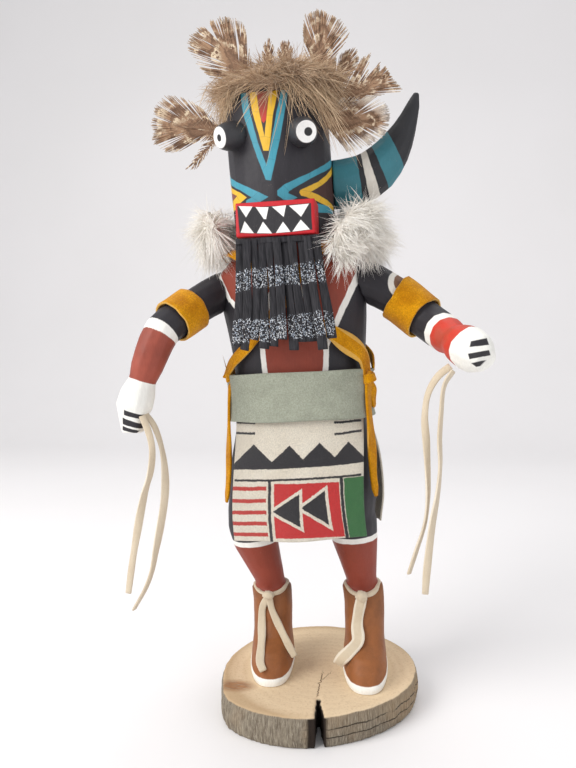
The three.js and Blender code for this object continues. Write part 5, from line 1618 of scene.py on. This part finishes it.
# Feathers: short broad body feathers, each of a bare quill and a few hundred barbs that fan out to its
# outline, split here and there, mottled brown with broken cream bars.
FEATHERS = {
    "feather_side_right": ((-29, 0, 312), (-58, -3, 319.5), -2, 3.5, 210, [
        (-32.1, 316.7), (-34.8, 322.3), (-40.1, 327.5), (-45, 331.5), (-50.5, 334.6), (-55, 335.8),
        (-58.8, 335.8), (-64.8, 331.8), (-67.3, 326.6), (-69.2, 323), (-68.3, 317.8), (-68.3, 311.2),
        (-64.4, 307.3), (-60.2, 305), (-55.5, 304.9), (-47.6, 308.3), (-40.6, 308.9), (-33, 309.5),
        (-28, 309), (-28, 314)]),
    "feather_wisp": ((-27, -8, 312), (-46, -8, 296), -8, 1, 40, [
        (-27, 313), (-38, 308), (-50.5, 293.5), (-45, 293), (-36, 301), (-26, 309)]),
    "feather_top_right": ((-9, -2, 331), (-28, -1, 361), -2, 3, 250, [
        (-12, 334), (-10, 346.1), (-10.5, 352.1), (-10.8, 357.5), (-11.5, 363), (-12.3, 366.6),
        (-16.5, 369.8), (-20.9, 371.9), (-26.7, 372.3), (-34, 370.9), (-40, 367.5), (-43.1, 364.6),
        (-44.1, 360.4), (-43.5, 353.7), (-39.4, 348.1), (-32.9, 340.8), (-26.1, 336), (-14, 330)]),
    "feather_middle_right": ((-1, -6, 334), (-1, -6, 352), -6, 1.5, 60, [
        (-4.3, 336), (-4, 348.6), (-1.2, 356.5), (1.5, 355.6), (3.2, 350.1), (1.8, 336)]),
    "feather_middle_left": ((7, -6, 334), (9, -6, 350), -6, 1.5, 60, [
        (2.8, 336), (4.2, 348.9), (7.8, 353.8), (11, 353), (13.3, 347.4), (11.9, 336)]),
    "feather_top_left": ((21, 3, 329), (29, 3, 360), 3, 3, 230, [
        (16, 330), (16.9, 342.4), (17.3, 354.7), (18.4, 367.9), (24.4, 369.8), (29.4, 369.5), (33.5, 366.4),
        (38.1, 361.8), (40.5, 358.4), (42.7, 353.1), (39.2, 349.4), (35.1, 345.3), (31.5, 337), (29.1, 329)]),
    "feather_back_left": ((26, 7, 327), (40, 7, 343), 7, 2, 110, [
        (26, 330), (31.2, 342.9), (36.5, 347.4), (41.6, 349.6), (45.4, 349.2), (46.4, 341.6), (43, 336.4),
        (38.1, 333.2), (33.4, 328.5), (28, 325)]),
    "feather_side_left": ((26, -5, 315), (61, -4.5, 327), -5, 1.5, 200, [
        (27, 320.7), (35.3, 328.1), (42.3, 334.5), (46.8, 338), (51.7, 339.8), (50.4, 330), (56.3, 336.5),
        (56.5, 330), (59.2, 333.3), (62.9, 325.9), (67, 317.3), (61.2, 317.7), (53.8, 317.8), (40.7, 314.9),
        (28.8, 315.1)]),
    "feather_low_left": ((25, -6, 309.5), (56, -6, 304), -6, 1.5, 220, [
        (28, 319.9), (41, 319.6), (52.7, 318.3), (57.7, 313.3), (59.9, 307.7), (59.5, 302.6), (55.9, 297),
        (48.6, 293.2), (39.6, 291.3), (29.6, 292.6), (24.4, 303.1)]),
}


def reach_to(outline, x, z, ux, uz):
    """How far it is from a place to the outline, along a direction."""
    best = 4.0
    for (ax, az), (bx, bz) in zip(outline, outline[1:] + outline[:1]):
        ex, ez = bx - ax, bz - az
        cross = ux * ez - uz * ex
        if abs(cross) < 1e-9:
            continue
        far = ((ax - x) * ez - (az - z) * ex) / cross
        share = ((ax - x) * uz - (az - z) * ux) / cross
        if far > 0 and 0 <= share <= 1:
            best = far if best == 4.0 else min(best, far)
    return best


def feather_mesh(name, base, tip, y, bow, count, outline, seed):
    dice = np.random.default_rng(seed)
    base, tip = np.array(base, float), np.array(tip, float)
    quill = tip - base
    length = np.linalg.norm(quill)
    qx, qz = quill[0] / length, quill[2] / length
    roots, aims, bends, tones = [], [], [], []
    for i in range(count):
        s = (i // 2 + dice.uniform(-0.3, 0.3)) / (count / 2)
        s = min(max(s, 0.02), 1) ** 0.9
        side = 1 if i % 2 else -1
        fan = math.radians(62 - 52 * s ** 0.8)
        clump = 0.13 * math.sin(23 * s + seed + side) + 0.08 * math.sin(41 * s + 2 * seed)
        a = side * (fan + clump + dice.normal(0, 0.025))
        ux, uz = qx * math.cos(a) - qz * math.sin(a), qx * math.sin(a) + qz * math.cos(a)
        root = base + quill * s * 0.97
        root[1] = y - bow * math.sin(math.pi * s * 0.8) * 0.5
        reach = reach_to(outline, root[0], root[2], ux, uz)
        reach = min(reach, length * 1.4) * dice.uniform(0.93, 1.02)
        lift = -bow * 0.35 * math.sin(2.2 * s)
        roots.append(root + np.array([0, dice.uniform(-0.12, 0.12), 0]))
        aims.append(np.array([ux * reach, lift + dice.normal(0, 0.4), uz * reach]))
        curl = 0.07 * reach
        bends.append(np.array([qx * curl, bow * 0.25 * dice.uniform(0.5, 1.5), qz * curl]))
        tones.append(s)
    roots, aims, bends = np.array(roots), np.array(aims), np.array(bends)
    wide = np.full(count, 0.42) * dice.uniform(0.8, 1.25, count)
    flat = np.full(count, 0.07)
    roots = np.vstack([roots, base[None]])
    roots[-1, 1] = y - 0.15
    aims = np.vstack([aims, quill[None] * 0.96])
    bends = np.vstack([bends, [[0, -bow * 0.3, 0]]])
    wide, flat = np.append(wide, 0.5), np.append(flat, 0.4)
    tones = np.append(tones, 0.5)
    out = np.tile([0, -1.0, 0], (count + 1, 1))
    mesh = grown(name, roots, aims, bends, wide, flat, tones, spans=7, faces=out, tip=0.35)
    places = mesh_points(mesh)
    note_places(mesh, "upright", places)
    mesh.vertices.foreach_set("co", leaned(places).ravel())
    mesh.update()
    return mesh


def feather_finish(name, pale_from, pale):
    vane = Finish(name, Specular_IOR_Level=0.3, Sheen_Weight=0.15)
    along, place_on_quill, _ = vane.parts(vane.attribute("strand"))
    places = vane.attribute("upright")
    mottle = vane.grain(places, 0.16, 4, 0.65)
    rings = (along * 15 + place_on_quill * 4 + mottle * 13).curve("SINE")
    color = vane.mixed(vane.ranged(mottle, 0.35, 0.65), rgb(116, 86, 66), rgb(164, 130, 102))
    cream = vane.ranged(rings, 0.55, 0.85) * vane.ranged(along, 0.1, 0.3) * vane.ranged(mottle, 0.62, 0.4)
    color = vane.mixed(cream, color, rgb(224, 204, 176))
    dark = vane.ranged(rings, -0.5, -0.85) * 0.5
    color = vane.mixed(vane.ranged(along, pale_from, 1.0) * 0.75, color, pale)
    color = vane.mixed(dark, color, rgb(86, 62, 46))
    fine = vane.grain(vane.stretched(places, (0.6, 0.6, 0.6)), 3, 3)
    color = vane.mixed(vane.ranged(fine, 0.55, 0.75) * 0.3, color, rgb(92, 70, 54))
    return vane.shine(Base_Color=color, Roughness=0.7)


barred = feather_finish("barred_feather", 0.84, rgb(204, 180, 150))
pale_edged = feather_finish("pale_edged_feather", 0.55, rgb(246, 240, 230))
for seed, (name, (base, tip, y, bow, count, outline)) in enumerate(FEATHERS.items()):
    mesh = feather_mesh("barbs_" + name, base, tip, y, bow, count, outline, seed + 3)
    finish = pale_edged if name == "feather_low_left" else barred
    set_piece("vane_" + name.replace("feather_", ""), mesh, finish, smooth=False,
              stands_for=[name])
